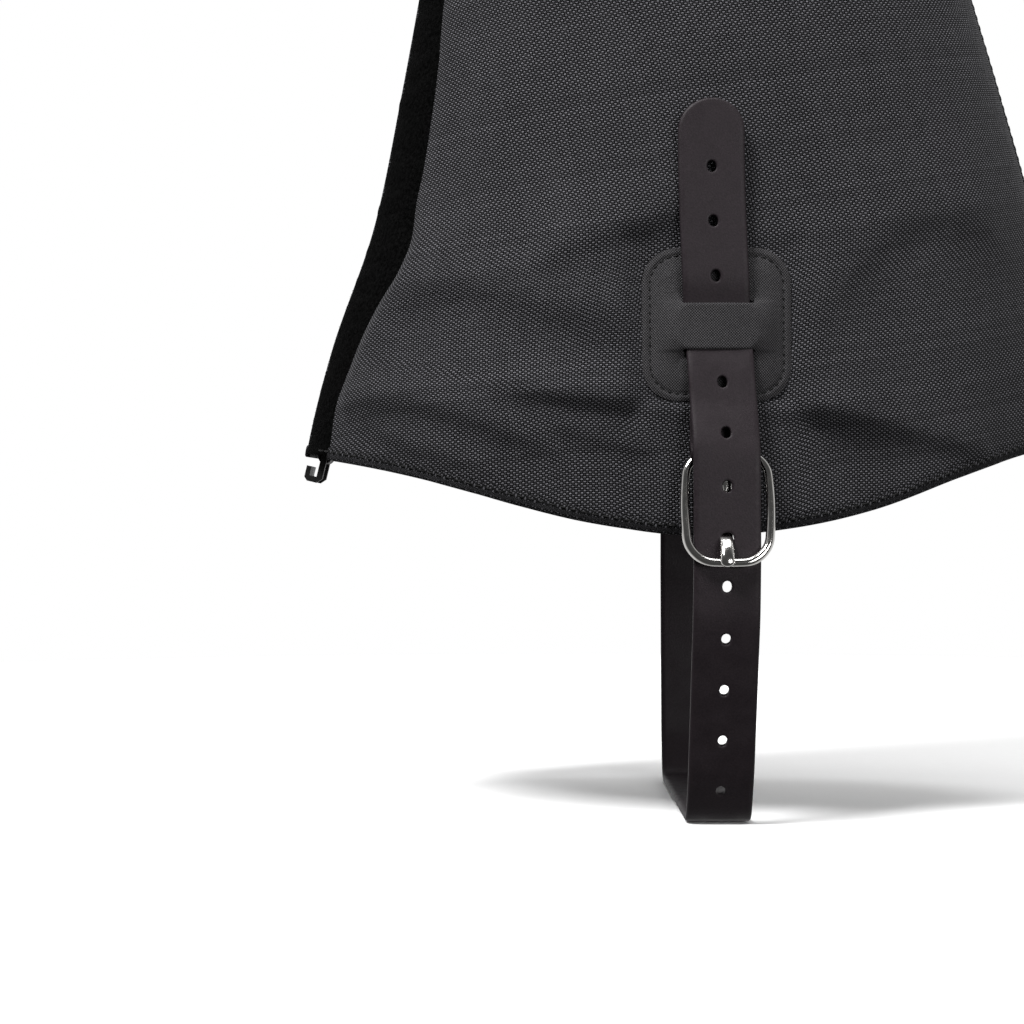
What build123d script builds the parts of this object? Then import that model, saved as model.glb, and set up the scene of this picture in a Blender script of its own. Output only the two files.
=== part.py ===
from build123d import *
import math
import os

# One lower-leg gaiter for a left boot, in millimetres.
# The leg runs up +Z, the toe points along -X, the outer (lateral) side of the leg faces -Y.
# The origin lies on the leg's centre line, level with the lowest point of the hem.

# ---- Driving dimensions ------------------------------------------------------------------
TOP = 440.0                 # height of the top edge above the lowest point of the hem
SEAM_HEIGHT = 205.0         # where the tough lower cloth meets the lighter upper cloth
# Each section of the leg tube: height, frontmost x, rearmost x, half its width in y.
SECTIONS = [
    (-10.0, -118.5, 107.0, 64.0),
    (0.0, -118.0, 107.0, 66.0),
    (23.0, -115.5, 106.0, 66.0),
    (54.0, -108.0, 103.0, 65.0),
    (90.0, -95.6, 98.0, 63.0),
    (131.0, -87.0, 87.0, 60.5),
    (158.0, -82.0, 79.0, 58.5),
    (200.0, -75.0, 68.0, 56.0),
    (240.0, -72.0, 64.0, 56.0),
    (300.0, -73.0, 72.0, 60.0),
    (350.0, -74.0, 78.0, 64.0),
    (400.0, -73.0, 77.0, 65.0),
    (TOP, -72.0, 73.0, 63.0),
]
# The hem dips at the sides and rises over the instep and the heel: x, z.
HEM_LINE = [(-140, 25), (-108, 22), (-79, 16), (-53, 8.6), (-30, 3), (-6, 0), (20, 2), (43, 7), (68, 16),
            (90, 23), (130, 27)]
HEM_WIDTH = 4.0
# Front edge of the flap seen from the side, from the hem to the top: x, z.
FLAP_EDGE = [(-111, 0), (-107, 21), (-99, 57), (-86, 86), (-80, 116), (-74.7, 153), (-66, 200),
             (-63.5, 250), (-65, 350), (-63, 445)]
HINGE_LOW = (-56.0, -64.2, 0.0)       # the line that the opened flap folds about
HINGE_HIGH = (-14.0, -69.0, TOP)
GAP = 0.5                             # between cut edges that meet

# Layers of the wall, each an inner and an outer distance from the tube's own surface.
PANEL = (0.0, 1.2)
BAND = (-1.5, -0.35)
LOOP_TAPE = (-0.05, 1.2)
HOOK_TAPE = (1.5, 2.7)
FLAP = (3.0, 4.2)
HEM = (0.0, 1.7)
FLAP_HEM = (2.95, 4.5)
CUFF = (3.2, 4.3)
FLAP_CUFF = (4.5, 5.3)
WEBBING = (1.6, 2.8)
PATCH = (1.5, 2.9)
WELT = (1.5, 2.3)
SEAM_TAPE = (-0.95, -0.4)
ELASTIC = (-2.0, -0.5)

APEX_Y = 3.0                # where the medial cloth starts, just past the front of the shin
BAND_REACH = 24.0           # how far the underlap runs behind the flap's edge, along x
WELT_HALF = 5.0
SEAM_TAPE_FRONT, SEAM_TAPE_HALF = -30.0, 8.0
ELASTIC_FRONT, ELASTIC_LEVELS = -25.0, (70.0, 80.0)
CUFF_LOW = 414.0
TAPE_TOP = 408.0

STRAP_X = 0.5               # middle of the instep strap
STRAP_WIDTH = 18.0
STRAP_THICK = 2.0
HOLE_RADIUS = 1.3
HOLE_TALL = 1.6
HOLE_RISE_UP = 14.35        # from hole to hole above the buckle
HOLE_RISE_DOWN = 14.0
TIP_TOP = 119.0
SOLE_Z = -78.2              # middle of the strap where it runs under the sole

PATCH_X, PATCH_Z = 0.3, 57.1
PATCH_WIDE, PATCH_TALL, PATCH_CORNER = 40.0, 42.0, 10.0
BRIDGE_LOW, BRIDGE_HIGH = 52.4, 62.0      # the band of the patch that the strap passes under
BRIDGE = (4.1, 5.4)         # its layer
SLOT_LOW, SLOT_HIGH = 47.8, 65.6          # outer edges of the two slots beside the bridge
SLOT_HALF = 9.7             # half the slots' width
BRIDGE_HALF = 12.5
ANCHOR_Z = 32.0             # middle of the patch on the inner side
ANCHOR_WIDE, ANCHOR_TALL, ANCHOR_CORNER = 34.0, 36.0, 8.0
ANCHOR_TOP = 46.0           # where the strap ends on it
RIVET_LEVELS = (24.0, 38.0)
RIVET_HEAD, RIVET_SHANK = 4.0, 1.5

WIRE = 1.25                 # radius of the buckle's wire
HEEL_BAR = (-70.9, 22.0)    # y, z of the bar that the buckle hangs on
FRONT_BAR = (-78.2, -6.5)   # y, z of the bar that the prong rests on
BUCKLE_WIDE = 22.5          # between the centres of the two side bars
PRONG_WIDE = 3.0
PRONG_SLOT_Z, PRONG_SLOT = 0.75, 7.0      # middle and length of the slot that the prong passes through


# ---- Wall of the leg tube ----------------------------------------------------------------
def tube_solid(grow):
    """The whole leg tube as one solid, its surface moved outwards by grow."""
    with BuildPart() as tube:
        for height, front, back, half_width in SECTIONS:
            with BuildSketch(Plane.XY.offset(height)):
                with Locations(((front + back) / 2, 0)):
                    Ellipse((back - front) / 2 + grow, half_width + grow)
        loft(ruled=True)
    return tube.part


TUBES = {}


def tube_at(grow):
    """The leg tube at one distance, made once and kept."""
    if grow not in TUBES:
        TUBES[grow] = tube_solid(grow)
    return TUBES[grow]


def slab(x_range, y_range, z_range):
    """A block between two corners."""
    size = [high - low for low, high in (x_range, y_range, z_range)]
    middle = [(high + low) / 2 for low, high in (x_range, y_range, z_range)]
    with BuildPart() as block:
        with Locations(tuple(middle)):
            Box(*size)
    return block.part


def below_hem(lift):
    """Everything under the hem line raised by lift."""
    with BuildPart() as below:
        with BuildSketch(Plane.XZ.offset(-150)):
            with BuildLine():
                edge = Spline(*[(x, z + lift) for x, z in HEM_LINE])
                Polyline(edge @ 1, (HEM_LINE[-1][0], -60), (HEM_LINE[0][0], -60), edge @ 0)
            make_face()
        extrude(amount=300)
    return below.part


def hinge_x(z):
    """x of the fold line at a height."""
    share = (z - HINGE_LOW[2]) / (HINGE_HIGH[2] - HINGE_LOW[2])
    return HINGE_LOW[0] + share * (HINGE_HIGH[0] - HINGE_LOW[0])


def lateral_region(x_gap):
    """The outer side of the leg behind the fold line."""
    with BuildPart() as region:
        with BuildSketch(Plane.XZ.offset(0.2)):
            with BuildLine():
                Polyline((hinge_x(-30) + x_gap, -30), (hinge_x(470) + x_gap, 470), (150, 470), (150, -30),
                         close=True)
            make_face()
        extrude(amount=120)
    return region.part


def flap_region(edge_shift, hinge_gap):
    """The outer side of the leg between the flap's edge, moved back by edge_shift, and the fold line."""
    with BuildPart() as region:
        with BuildSketch(Plane.XZ.offset(4)):
            with BuildLine():
                edge = Spline(*[(x + edge_shift, z) for x, z in FLAP_EDGE])
                Polyline(edge @ 1, (hinge_x(445) - hinge_gap, 445), (hinge_x(0) - hinge_gap, 0), edge @ 0)
            make_face()
        extrude(amount=120)
    return region.part


def band_region(medial_reach):
    """The front of the leg, from medial_reach past the shin to well under the flap."""
    with BuildPart() as region:
        with BuildSketch(Plane.XZ.offset(-medial_reach)):
            with BuildLine():
                rear = Spline(*[(x + BAND_REACH, z) for x, z in FLAP_EDGE])
                Polyline(rear @ 1, (-150, 445), (-150, 0), rear @ 0)
            make_face()
        extrude(amount=120)
    return region.part


def medial_region():
    """The inner side of the leg, from just past the shin to the back seam."""
    with BuildPart() as region:
        with BuildSketch(Plane.XY.offset(-30)):
            with BuildLine():
                Polyline((-150, APEX_Y + GAP), (-40, APEX_Y + GAP), (-40, 0.2), (150, 0.2), (150, 120),
                         (-150, 120), close=True)
            make_face()
        extrude(amount=500)
    return region.part


def wall(layer, regions, cuts=()):
    """The part of one wall layer that lies in every region and in no cut."""
    with BuildPart() as piece:
        add(tube_at(layer[1]))
        add(tube_at(layer[0]), mode=Mode.SUBTRACT)
        for region in regions:
            add(region, mode=Mode.INTERSECT)
        for cut in cuts:
            add(cut, mode=Mode.SUBTRACT)
    return piece.part


def heights(low, high):
    """A wide slab between two heights."""
    return slab((-160, 160), (-130, 130), (low, high))


def keep(part, name):
    """Name a finished piece and write it."""
    part.label = name
    export_step(part, f"parts/{name}.step")


os.makedirs("parts", exist_ok=True)

HEM_CUT = below_hem(0)
PANEL_CUT = below_hem(HEM_WIDTH + 0.1)
LATERAL = lateral_region(GAP)
MEDIAL = medial_region()
FLAP_AREA = flap_region(0, GAP)

# ---- Cloth panels -------------------------------------------------------------------------
lower_zone = heights(-20, SEAM_HEIGHT - 0.15)
upper_zone = heights(SEAM_HEIGHT + 0.15, TOP)
keep(wall(PANEL, [LATERAL, lower_zone], [PANEL_CUT]), "lateral_panel_lower")
keep(wall(PANEL, [MEDIAL, lower_zone], [PANEL_CUT]), "medial_panel_lower")
keep(wall(PANEL, [LATERAL, upper_zone]), "lateral_panel_upper")
keep(wall(PANEL, [MEDIAL, upper_zone]), "medial_panel_upper")
keep(wall(FLAP, [FLAP_AREA, heights(-20, TOP)], [PANEL_CUT]), "front_flap")

# Underlap on the inner side of the closure, with the loop half of the fastener on it.
keep(wall(BAND, [band_region(18), heights(-20, TOP)], [HEM_CUT]), "underlap_band")
keep(wall(LOOP_TAPE, [band_region(APEX_Y), heights(-20, TAPE_TOP)], [HEM_CUT]), "loop_tape")
# Hook half of the fastener, on the inside of the flap.
hook_zone = flap_region(3.0, 12.0)
keep(wall(HOOK_TAPE, [hook_zone, band_region(APEX_Y), heights(-20, TAPE_TOP)], [PANEL_CUT]), "hook_tape")

# ---- Hems, seams and cuffs ------------------------------------------------------------------
lifted_hem = below_hem(HEM_WIDTH)
keep(wall(HEM, [LATERAL, lifted_hem], [HEM_CUT]), "hem_lateral")
keep(wall(HEM, [MEDIAL, lifted_hem], [HEM_CUT]), "hem_medial")
keep(wall(FLAP_HEM, [FLAP_AREA, lifted_hem], [HEM_CUT]), "hem_flap")
welt_zone = slab((0, 150), (-WELT_HALF, WELT_HALF), (-20, CUFF_LOW - 1))
keep(wall(WELT, [welt_zone], [below_hem(HEM_WIDTH + 1)]), "back_seam_welt")
seam_levels = (SEAM_HEIGHT - SEAM_TAPE_HALF, SEAM_HEIGHT + SEAM_TAPE_HALF)
keep(wall(SEAM_TAPE, [slab((SEAM_TAPE_FRONT, 150), (-130, 130), seam_levels)]), "seam_tape")
keep(wall(ELASTIC, [slab((ELASTIC_FRONT, 150), (-130, 130), ELASTIC_LEVELS)]), "ankle_elastic")

# The cuff is left open over the cam buckle.
WINDOW = slab((-9, 33), (-130, 0), (CUFF_LOW + 2.5, TOP - 2.5))
cuff_zone = heights(CUFF_LOW, TOP)
with BuildPart() as top_cuff:
    add(wall(CUFF, [LATERAL, cuff_zone], [WINDOW]))
    add(wall(CUFF, [MEDIAL, cuff_zone]))
keep(top_cuff.part, "top_cuff")
keep(wall(FLAP_CUFF, [FLAP_AREA, cuff_zone]), "flap_cuff")

# ---- Webbing round the top, and its cam buckle ----------------------------------------------
WEB_LOW, WEB_HIGH = CUFF_LOW + 3.5, TOP - 3.5
web_zone = heights(WEB_LOW, WEB_HIGH)
with BuildPart() as top_webbing:
    add(wall(WEBBING, [lateral_region(3), web_zone]))
    add(wall(WEBBING, [MEDIAL, web_zone]))
    add(wall(WEBBING, [slab((0, 150), (-1, 1), (WEB_LOW, WEB_HIGH))]))
keep(top_webbing.part, "top_webbing")

CAM_TILT = math.radians(7.5)
CAM_PLANE = Plane(origin=(12, -63.8, 427), x_dir=(math.cos(CAM_TILT), math.sin(CAM_TILT), 0),
                  z_dir=(math.sin(CAM_TILT), -math.cos(CAM_TILT), 0))
CAM_LONG, CAM_TALL = 26.0, 25.0
CHEEK = 2.0
CAM_BASE = (4.7, 6.0)
CAM_WEB = (6.3, 7.5)
CAM_AXIS = (-2.0, 10.2)     # along the buckle, and out from the leg
CAM_PIN_RADIUS = 1.2
CAM_ROUND = 2.4
CAM_CHEEK_RISE = 8.2
CAM_LEVER_WIDE = 19.4
CAM_WEB_LONG = 34.0

with BuildPart() as cam_body:
    with BuildSketch(CAM_PLANE.offset(CAM_BASE[0])):
        RectangleRounded(CAM_LONG, CAM_TALL, 3)
    extrude(amount=CAM_BASE[1] - CAM_BASE[0])
    for side in (-1, 1):
        with BuildSketch(CAM_PLANE.offset(CAM_BASE[0])):
            with Locations((0, side * (CAM_TALL - CHEEK) / 2)):
                Rectangle(CAM_LONG - 6, CHEEK)
        extrude(amount=CAM_CHEEK_RISE)
    with BuildSketch(Plane(origin=CAM_PLANE.from_local_coords((CAM_AXIS[0], -20, CAM_AXIS[1])),
                           x_dir=CAM_PLANE.x_dir, z_dir=(0, 0, 1))):
        Circle(CAM_PIN_RADIUS + 0.1)
    extrude(amount=40, mode=Mode.SUBTRACT)
keep(cam_body.part, "cam_buckle_body")

with BuildPart() as cam_pin:
    with BuildSketch(Plane(origin=CAM_PLANE.from_local_coords((CAM_AXIS[0], -CAM_TALL / 2, CAM_AXIS[1])),
                           x_dir=CAM_PLANE.x_dir, z_dir=(0, 0, 1))):
        Circle(CAM_PIN_RADIUS)
    extrude(amount=CAM_TALL)
keep(cam_pin.part, "cam_pin")

with BuildPart() as cam_lever:
    lever_foot = CAM_PLANE.from_local_coords((CAM_AXIS[0], -CAM_LEVER_WIDE / 2, CAM_AXIS[1]))
    with BuildSketch(Plane(origin=lever_foot, x_dir=CAM_PLANE.x_dir, z_dir=(0, 0, 1))):
        Circle(CAM_ROUND)
        with BuildLine():
            Polyline((0, CAM_ROUND), (0, -CAM_ROUND), (4, -CAM_ROUND - 0.2), (15, -CAM_ROUND + 0.4),
                     (15, -CAM_ROUND + 2.0), (5, -CAM_ROUND + 2.4), close=True)
        make_face()
        Circle(CAM_PIN_RADIUS + 0.1, mode=Mode.SUBTRACT)
    extrude(amount=CAM_LEVER_WIDE)
keep(cam_lever.part, "cam_lever")

with BuildPart() as cam_webbing:
    with BuildSketch(CAM_PLANE.offset(CAM_WEB[0])):
        Rectangle(CAM_WEB_LONG, WEB_HIGH - WEB_LOW)
    extrude(amount=CAM_WEB[1] - CAM_WEB[0])
keep(cam_webbing.part, "cam_webbing")

TAIL = (5.4, 6.6)
TAIL_START, TAIL_END = 34.0, 66.0
with BuildPart() as webbing_tail:
    add(wall(TAIL, [slab((TAIL_START, TAIL_END), (-130, 0), (WEB_LOW + 0.5, WEB_HIGH - 0.5))]))
keep(webbing_tail.part, "webbing_tail")

# ---- Snap at the top of the closure -----------------------------------------------------------
SNAP_PLANE = Plane(origin=(-55, -41.2, 427), x_dir=(0.6984, -0.7157, 0), z_dir=(-0.7157, -0.6984, 0))
with BuildPart() as snap_cap:
    with BuildSketch(SNAP_PLANE.offset(5.5)):
        Circle(6.5)
    extrude(amount=1.6)
    fillet(snap_cap.edges().group_by(SortBy.DISTANCE)[-1].filter_by(GeomType.CIRCLE), 0.7)
keep(snap_cap.part, "snap_cap")
with BuildPart() as snap_socket:
    with BuildSketch(SNAP_PLANE.offset(1.5)):
        Circle(5.5)
        Circle(2.4, mode=Mode.SUBTRACT)
    extrude(amount=1.0)
keep(snap_socket.part, "snap_socket")
with BuildPart() as snap_stud:
    with BuildSketch(SNAP_PLANE.offset(0.0)):
        Circle(5)
    extrude(amount=0.9)
    with BuildSketch(SNAP_PLANE.offset(0.0)):
        Circle(1.9)
    extrude(amount=2.2)
keep(snap_stud.part, "snap_stud")


# ---- Patches on the outer and inner side --------------------------------------------------------
def patch_prism(side, x_mid, z_mid, wide, tall, corner):
    """A rounded rectangle seen from the side, run out from the leg on side -1 (outer) or +1 (inner)."""
    with BuildPart() as prism:
        with BuildSketch(Plane.XZ):
            with Locations((x_mid, z_mid)):
                RectangleRounded(wide, tall, corner)
        extrude(amount=-side * 120)
    return prism.part


def strap_slab(half_width, low, high):
    """A block on the outer side of the leg, centred on the strap."""
    return slab((STRAP_X - half_width, STRAP_X + half_width), (-130, 0), (low, high))


with BuildPart() as keeper_patch:
    add(wall(PATCH, [patch_prism(-1, PATCH_X, PATCH_Z, PATCH_WIDE, PATCH_TALL, PATCH_CORNER)],
             [strap_slab(SLOT_HALF, SLOT_LOW, SLOT_HIGH)]))
    under_bridge = wall((PATCH[0] - 1, BRIDGE[0]), [strap_slab(SLOT_HALF, BRIDGE_LOW - 1, BRIDGE_HIGH + 1)])
    add(wall((PATCH[0], BRIDGE[1]), [strap_slab(BRIDGE_HALF, BRIDGE_LOW, BRIDGE_HIGH)], [under_bridge]))
keep(keeper_patch.part, "keeper_patch")

anchor_outline = patch_prism(1, PATCH_X, ANCHOR_Z, ANCHOR_WIDE, ANCHOR_TALL, ANCHOR_CORNER)
keep(wall(PATCH, [anchor_outline]), "medial_patch")


# ---- Instep strap ---------------------------------------------------------------------------------
def wall_y(z):
    """How far the tube's outer side stands from the leg's centre line at a height."""
    for (low, _, _, wide_low), (high, _, _, wide_high) in zip(SECTIONS, SECTIONS[1:]):
        if low <= z <= high:
            return wide_low + (wide_high - wide_low) * (z - low) / (high - low)
    return SECTIONS[0][3]


def strap_run(points, radius):
    """The strap along a route in the YZ plane: points are the middle of its thickness."""
    with BuildPart() as run:
        with BuildLine() as route:
            if radius:
                FilletPolyline(*[(STRAP_X, y, z) for y, z in points], radius=radius)
            else:
                Polyline(*[(STRAP_X, y, z) for y, z in points])
        start = route.line @ 0
        with BuildSketch(Plane(origin=start, x_dir=(1, 0, 0), z_dir=route.line % 0)):
            Rectangle(STRAP_WIDTH, STRAP_THICK)
        sweep(path=route.line, transition=Transition.RIGHT)
    return run.part


def strap_holes(levels, tall):
    """Oval holes through the outer run of the strap."""
    with BuildPart() as holes:
        with BuildSketch(Plane.XZ.offset(40)):
            with Locations(*[(STRAP_X, z) for z in levels]):
                Ellipse(HOLE_RADIUS, tall)
        extrude(amount=60)
    return holes.part


OVER = 3.4 + STRAP_THICK / 2        # the strap's middle where it lies over a patch
UNDER = 1.6 + STRAP_THICK / 2       # and where it passes under the bridge
# Outer run of the free end, over the leg above the keeper's upper slot.
tip_levels = [64.2, 80, 100, TIP_TOP]
with BuildPart() as strap_tip:
    add(strap_run([(-wall_y(z) - OVER, z) for z in tip_levels], 0))
    with BuildSketch(Plane.XZ.offset(40)):
        with Locations((STRAP_X, TIP_TOP - 60)):
            SlotCenterToCenter(2 * (60 - STRAP_WIDTH / 2), STRAP_WIDTH - 0.02, rotation=90)
    extrude(amount=60, mode=Mode.INTERSECT)
    add(strap_holes([k * HOLE_RISE_UP for k in (5, 6, 7)], HOLE_TALL), mode=Mode.SUBTRACT)
keep(strap_tip.part, "strap_tip")

# From over the buckle's bar up to the keeper, ending under its bridge.
STRAP_Y = -75.2                      # middle of the strap inside the buckle
with BuildPart() as strap_tail:
    add(strap_run([(STRAP_Y, 19.4), (STRAP_Y, 24.0), (-wall_y(40) - OVER - 0.3, 38.5),
                   (-wall_y(48) - OVER, 47.6), (-wall_y(53) - UNDER, 52.6), (-wall_y(63) - UNDER, 63.0)], 0))
    add(strap_holes([2 * HOLE_RISE_UP, 3 * HOLE_RISE_UP], HOLE_TALL), mode=Mode.SUBTRACT)
keep(strap_tail.part, "strap_tail")

# The stretch inside the buckle, which swings out with it.
with BuildPart() as strap_window:
    add(strap_run([(STRAP_Y, -4.2), (STRAP_Y, 17.0)], 0))
    with BuildSketch(Plane.XZ.offset(40)):
        with Locations((STRAP_X, PRONG_SLOT_Z)):
            SlotOverall(PRONG_SLOT, PRONG_WIDE + 1.0, rotation=90)
    extrude(amount=60, mode=Mode.SUBTRACT)
    add(strap_holes([HOLE_RISE_UP], HOLE_TALL), mode=Mode.SUBTRACT)
keep(strap_window.part, "strap_window")

# Down the outer side of the boot, under its sole and up the inner side to the inner patch.
inner_run = [(wall_y(level) + OVER, level) for level in (RIVET_LEVELS[0], ANCHOR_TOP)]
with BuildPart() as instep_strap:
    add(strap_run([(STRAP_Y, -4.8), (-74.0, -22.0), (-60.0, -66.0), (-53.0, SOLE_Z), (53.0, SOLE_Z),
                   (60.0, -66.0), (71.0, -12.0), *inner_run], 6.0))
    add(strap_holes([-HOLE_RISE_DOWN * k for k in (1, 2, 3, 4)], HOLE_TALL), mode=Mode.SUBTRACT)
    with BuildSketch(Plane.XZ.offset(-40)):
        with Locations(*[(STRAP_X, level) for level in RIVET_LEVELS]):
            Circle(RIVET_SHANK + 0.2)
    extrude(amount=-60, mode=Mode.SUBTRACT)
keep(instep_strap.part, "instep_strap")

with BuildPart() as medial_rivets:
    for level in RIVET_LEVELS:
        face = wall_y(level) + OVER + STRAP_THICK / 2 + 0.25
        with BuildSketch(Plane(origin=(STRAP_X, face, level), z_dir=(0, 1, 0))):
            Circle(RIVET_HEAD)
        extrude(amount=1.3)
        with BuildSketch(Plane(origin=(STRAP_X, face - 1.9, level), z_dir=(0, 1, 0))):
            Circle(RIVET_SHANK)
        extrude(amount=2.0)
keep(medial_rivets.part, "medial_rivets")


# ---- Buckle ----------------------------------------------------------------------------------------
def on_side(y, z):
    """A plane square to x, at the strap's middle, with its own origin at y, z."""
    return Plane(origin=(STRAP_X, y, z), x_dir=(0, 1, 0), z_dir=(1, 0, 0))


# Short strap that holds the buckle: it lies on the cloth and wraps round the heel bar.
LOOP_IN, LOOP_OUT = WIRE + 0.25, WIRE + 1.75
LOOP_HALF = 7.6                       # half its width, the straight stretch of the heel bar
with BuildPart() as buckle_strap:
    with BuildSketch(on_side(*HEEL_BAR)):
        Circle(LOOP_OUT)
        with BuildLine():
            Polyline((0, LOOP_OUT - 1.5), (LOOP_OUT, 0), (LOOP_OUT, -1.0), (LOOP_OUT + 0.2, 12.0),
                     (LOOP_OUT - 1.2, 12.0), close=True)
        make_face()
        Circle(LOOP_IN, mode=Mode.SUBTRACT)
    extrude(amount=LOOP_HALF, both=True)
    with Locations((STRAP_X, *HEEL_BAR)):
        Box(PRONG_WIDE + 1.6, 8.0, 7.0, mode=Mode.SUBTRACT)
keep(buckle_strap.part, "buckle_strap")

frame_length = math.dist(HEEL_BAR, FRONT_BAR)
frame_up = ((HEEL_BAR[0] - FRONT_BAR[0]) / frame_length, (HEEL_BAR[1] - FRONT_BAR[1]) / frame_length)
FRAME_PLANE = Plane(origin=(STRAP_X, HEEL_BAR[0], HEEL_BAR[1]), x_dir=(1, 0, 0),
                    z_dir=(0, -frame_up[1], frame_up[0]))
half = BUCKLE_WIDE / 2
bottom = -frame_length
with BuildPart() as buckle_frame:
    with BuildLine(FRAME_PLANE) as half_ring:
        Line((0, 0), (LOOP_HALF, 0))
        Spline((LOOP_HALF, 0), (half - 1.3, -1.1), (half, -4.0), tangents=[(1, 0), (0, -1)])
        Spline((half, -4.0), (half + 1.1, -0.5 * frame_length), (half - 0.2, bottom + 7.0),
               tangents=[(0, -1), (-0.1, -1)])
        Spline((half - 0.2, bottom + 7.0), (half - 2.6, bottom + 1.6), (half - 7.5, bottom),
               tangents=[(-0.1, -1), (-1, 0)])
        Line((half - 7.5, bottom), (0, bottom))
    with BuildSketch(Plane(origin=(STRAP_X, HEEL_BAR[0], HEEL_BAR[1]), z_dir=(1, 0, 0))):
        Circle(WIRE)
    sweep(path=half_ring.line)
    mirror(about=Plane.YZ.offset(STRAP_X))
keep(buckle_frame.part, "buckle_frame")

# Prong: an eye round the heel bar, a leg behind the strap, and a tip through the hole on to the front bar.
with BuildPart() as buckle_prong:
    with BuildSketch(on_side(*HEEL_BAR)):
        Circle(WIRE + 1.3)
        with BuildLine():
            Polyline((-1.6, 0.6), (-1.9, -13.0), (-2.0, -18.0), (-5.2, -21.2), (-10.2, -26.0), (-10.5, -29.6),
                     (-9.7, -30.3), (-8.85, -29.6), (-8.75, -27.0), (-4.4, -23.4), (-0.6, -19.6),
                     (-0.4, -14.0), (0.6, -1.0), close=True)
        make_face()
        Circle(WIRE + 0.12, mode=Mode.SUBTRACT)
    extrude(amount=PRONG_WIDE / 2, both=True)
keep(buckle_prong.part, "buckle_prong")

# ---- Lace hook inside the front of the hem ----------------------------------------------------------
SHIN_SLOPE = math.atan2(SECTIONS[3][1] - SECTIONS[2][1], SECTIONS[3][0] - SECTIONS[2][0])
inward = (math.cos(SHIN_SLOPE), 0, -math.sin(SHIN_SLOPE))
hook_root = (SECTIONS[2][1] + 3.4 * inward[0], 0.0, SECTIONS[2][0] + 3.4 * inward[2])
HOOK_PLANE = Plane(origin=hook_root, x_dir=(0, 1, 0), z_dir=inward)
HOOK_WIRE = 0.9
HOOK_AXIS = (1.0, 1.9)        # up the shin, and inwards
TAB_WIDE, HOOK_WIDE, HOOK_THICK = 12.0, 15.0, 1.8
with BuildPart() as hook_tab:
    with BuildSketch(Plane(origin=HOOK_PLANE.from_local_coords((-TAB_WIDE / 2, *HOOK_AXIS)),
                           x_dir=inward, z_dir=(0, 1, 0))):
        Circle(HOOK_WIRE + 1.1)
        with BuildLine():
            Polyline((-1.9, 0), (-0.8, 0.6), (-0.8, -20), (-1.9, -20), close=True)
        make_face()
        Circle(HOOK_WIRE + 0.15, mode=Mode.SUBTRACT)
    extrude(amount=TAB_WIDE)
keep(hook_tab.part, "hook_tab")
with BuildPart() as lace_hook:
    with BuildSketch(Plane(origin=HOOK_PLANE.from_local_coords((-HOOK_WIDE / 2, *HOOK_AXIS)),
                           x_dir=inward, z_dir=(0, 1, 0))):
        Circle(HOOK_WIRE)
    extrude(amount=HOOK_WIDE)
    for side in (-1, 1):
        arm_foot = HOOK_PLANE.from_local_coords(((side * HOOK_WIDE - HOOK_THICK) / 2, *HOOK_AXIS))
        with BuildSketch(Plane(origin=arm_foot, x_dir=inward, z_dir=(0, 1, 0))):
            with BuildLine():
                Polyline((-0.9, 0.9), (-0.9, -0.9), (0.9, -0.9), (0.9, 6.5), (-0.5, 8.0), (-3.4, 8.0),
                         (-4.4, 7.0), (-4.4, 3.6), (-3.0, 3.6), (-3.0, 6.2), (-2.4, 6.6), (-0.9, 6.2),
                         close=True)
            make_face()
        extrude(amount=HOOK_THICK)
    with BuildSketch(Plane(origin=HOOK_PLANE.from_local_coords((-HOOK_WIDE / 2, *HOOK_AXIS)), x_dir=inward,
                           z_dir=(0, 1, 0))):
        with Locations((-3.7, 5.0)):
            Rectangle(1.4, 2.8)
    extrude(amount=HOOK_WIDE)
keep(lace_hook.part, "lace_hook")
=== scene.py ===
"""Looks of a left-leg gaiter: cloth, strap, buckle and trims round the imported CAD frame."""
import math
import random

import bmesh
import bpy
import numpy as np
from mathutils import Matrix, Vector


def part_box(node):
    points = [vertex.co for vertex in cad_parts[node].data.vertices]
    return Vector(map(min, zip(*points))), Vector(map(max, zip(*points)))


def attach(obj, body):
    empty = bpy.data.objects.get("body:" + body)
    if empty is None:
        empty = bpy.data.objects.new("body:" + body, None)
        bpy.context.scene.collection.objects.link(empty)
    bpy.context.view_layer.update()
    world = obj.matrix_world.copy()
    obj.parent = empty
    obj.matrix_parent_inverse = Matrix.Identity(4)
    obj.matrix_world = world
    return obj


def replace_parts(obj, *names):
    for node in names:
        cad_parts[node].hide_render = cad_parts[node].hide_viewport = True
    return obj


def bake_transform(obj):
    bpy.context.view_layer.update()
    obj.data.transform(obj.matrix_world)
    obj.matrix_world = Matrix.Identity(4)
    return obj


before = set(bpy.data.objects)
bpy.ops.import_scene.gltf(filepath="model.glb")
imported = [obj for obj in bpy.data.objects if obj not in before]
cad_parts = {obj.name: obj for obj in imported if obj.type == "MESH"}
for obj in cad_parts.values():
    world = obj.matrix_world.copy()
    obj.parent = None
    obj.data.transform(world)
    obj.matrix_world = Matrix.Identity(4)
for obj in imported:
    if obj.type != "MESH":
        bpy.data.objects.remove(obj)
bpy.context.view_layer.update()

MM = 0.001

# ---- Shape of the leg tube, in millimetres ---------------------------------------------
TOP = 440.0
SEAM = 205.0
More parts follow.
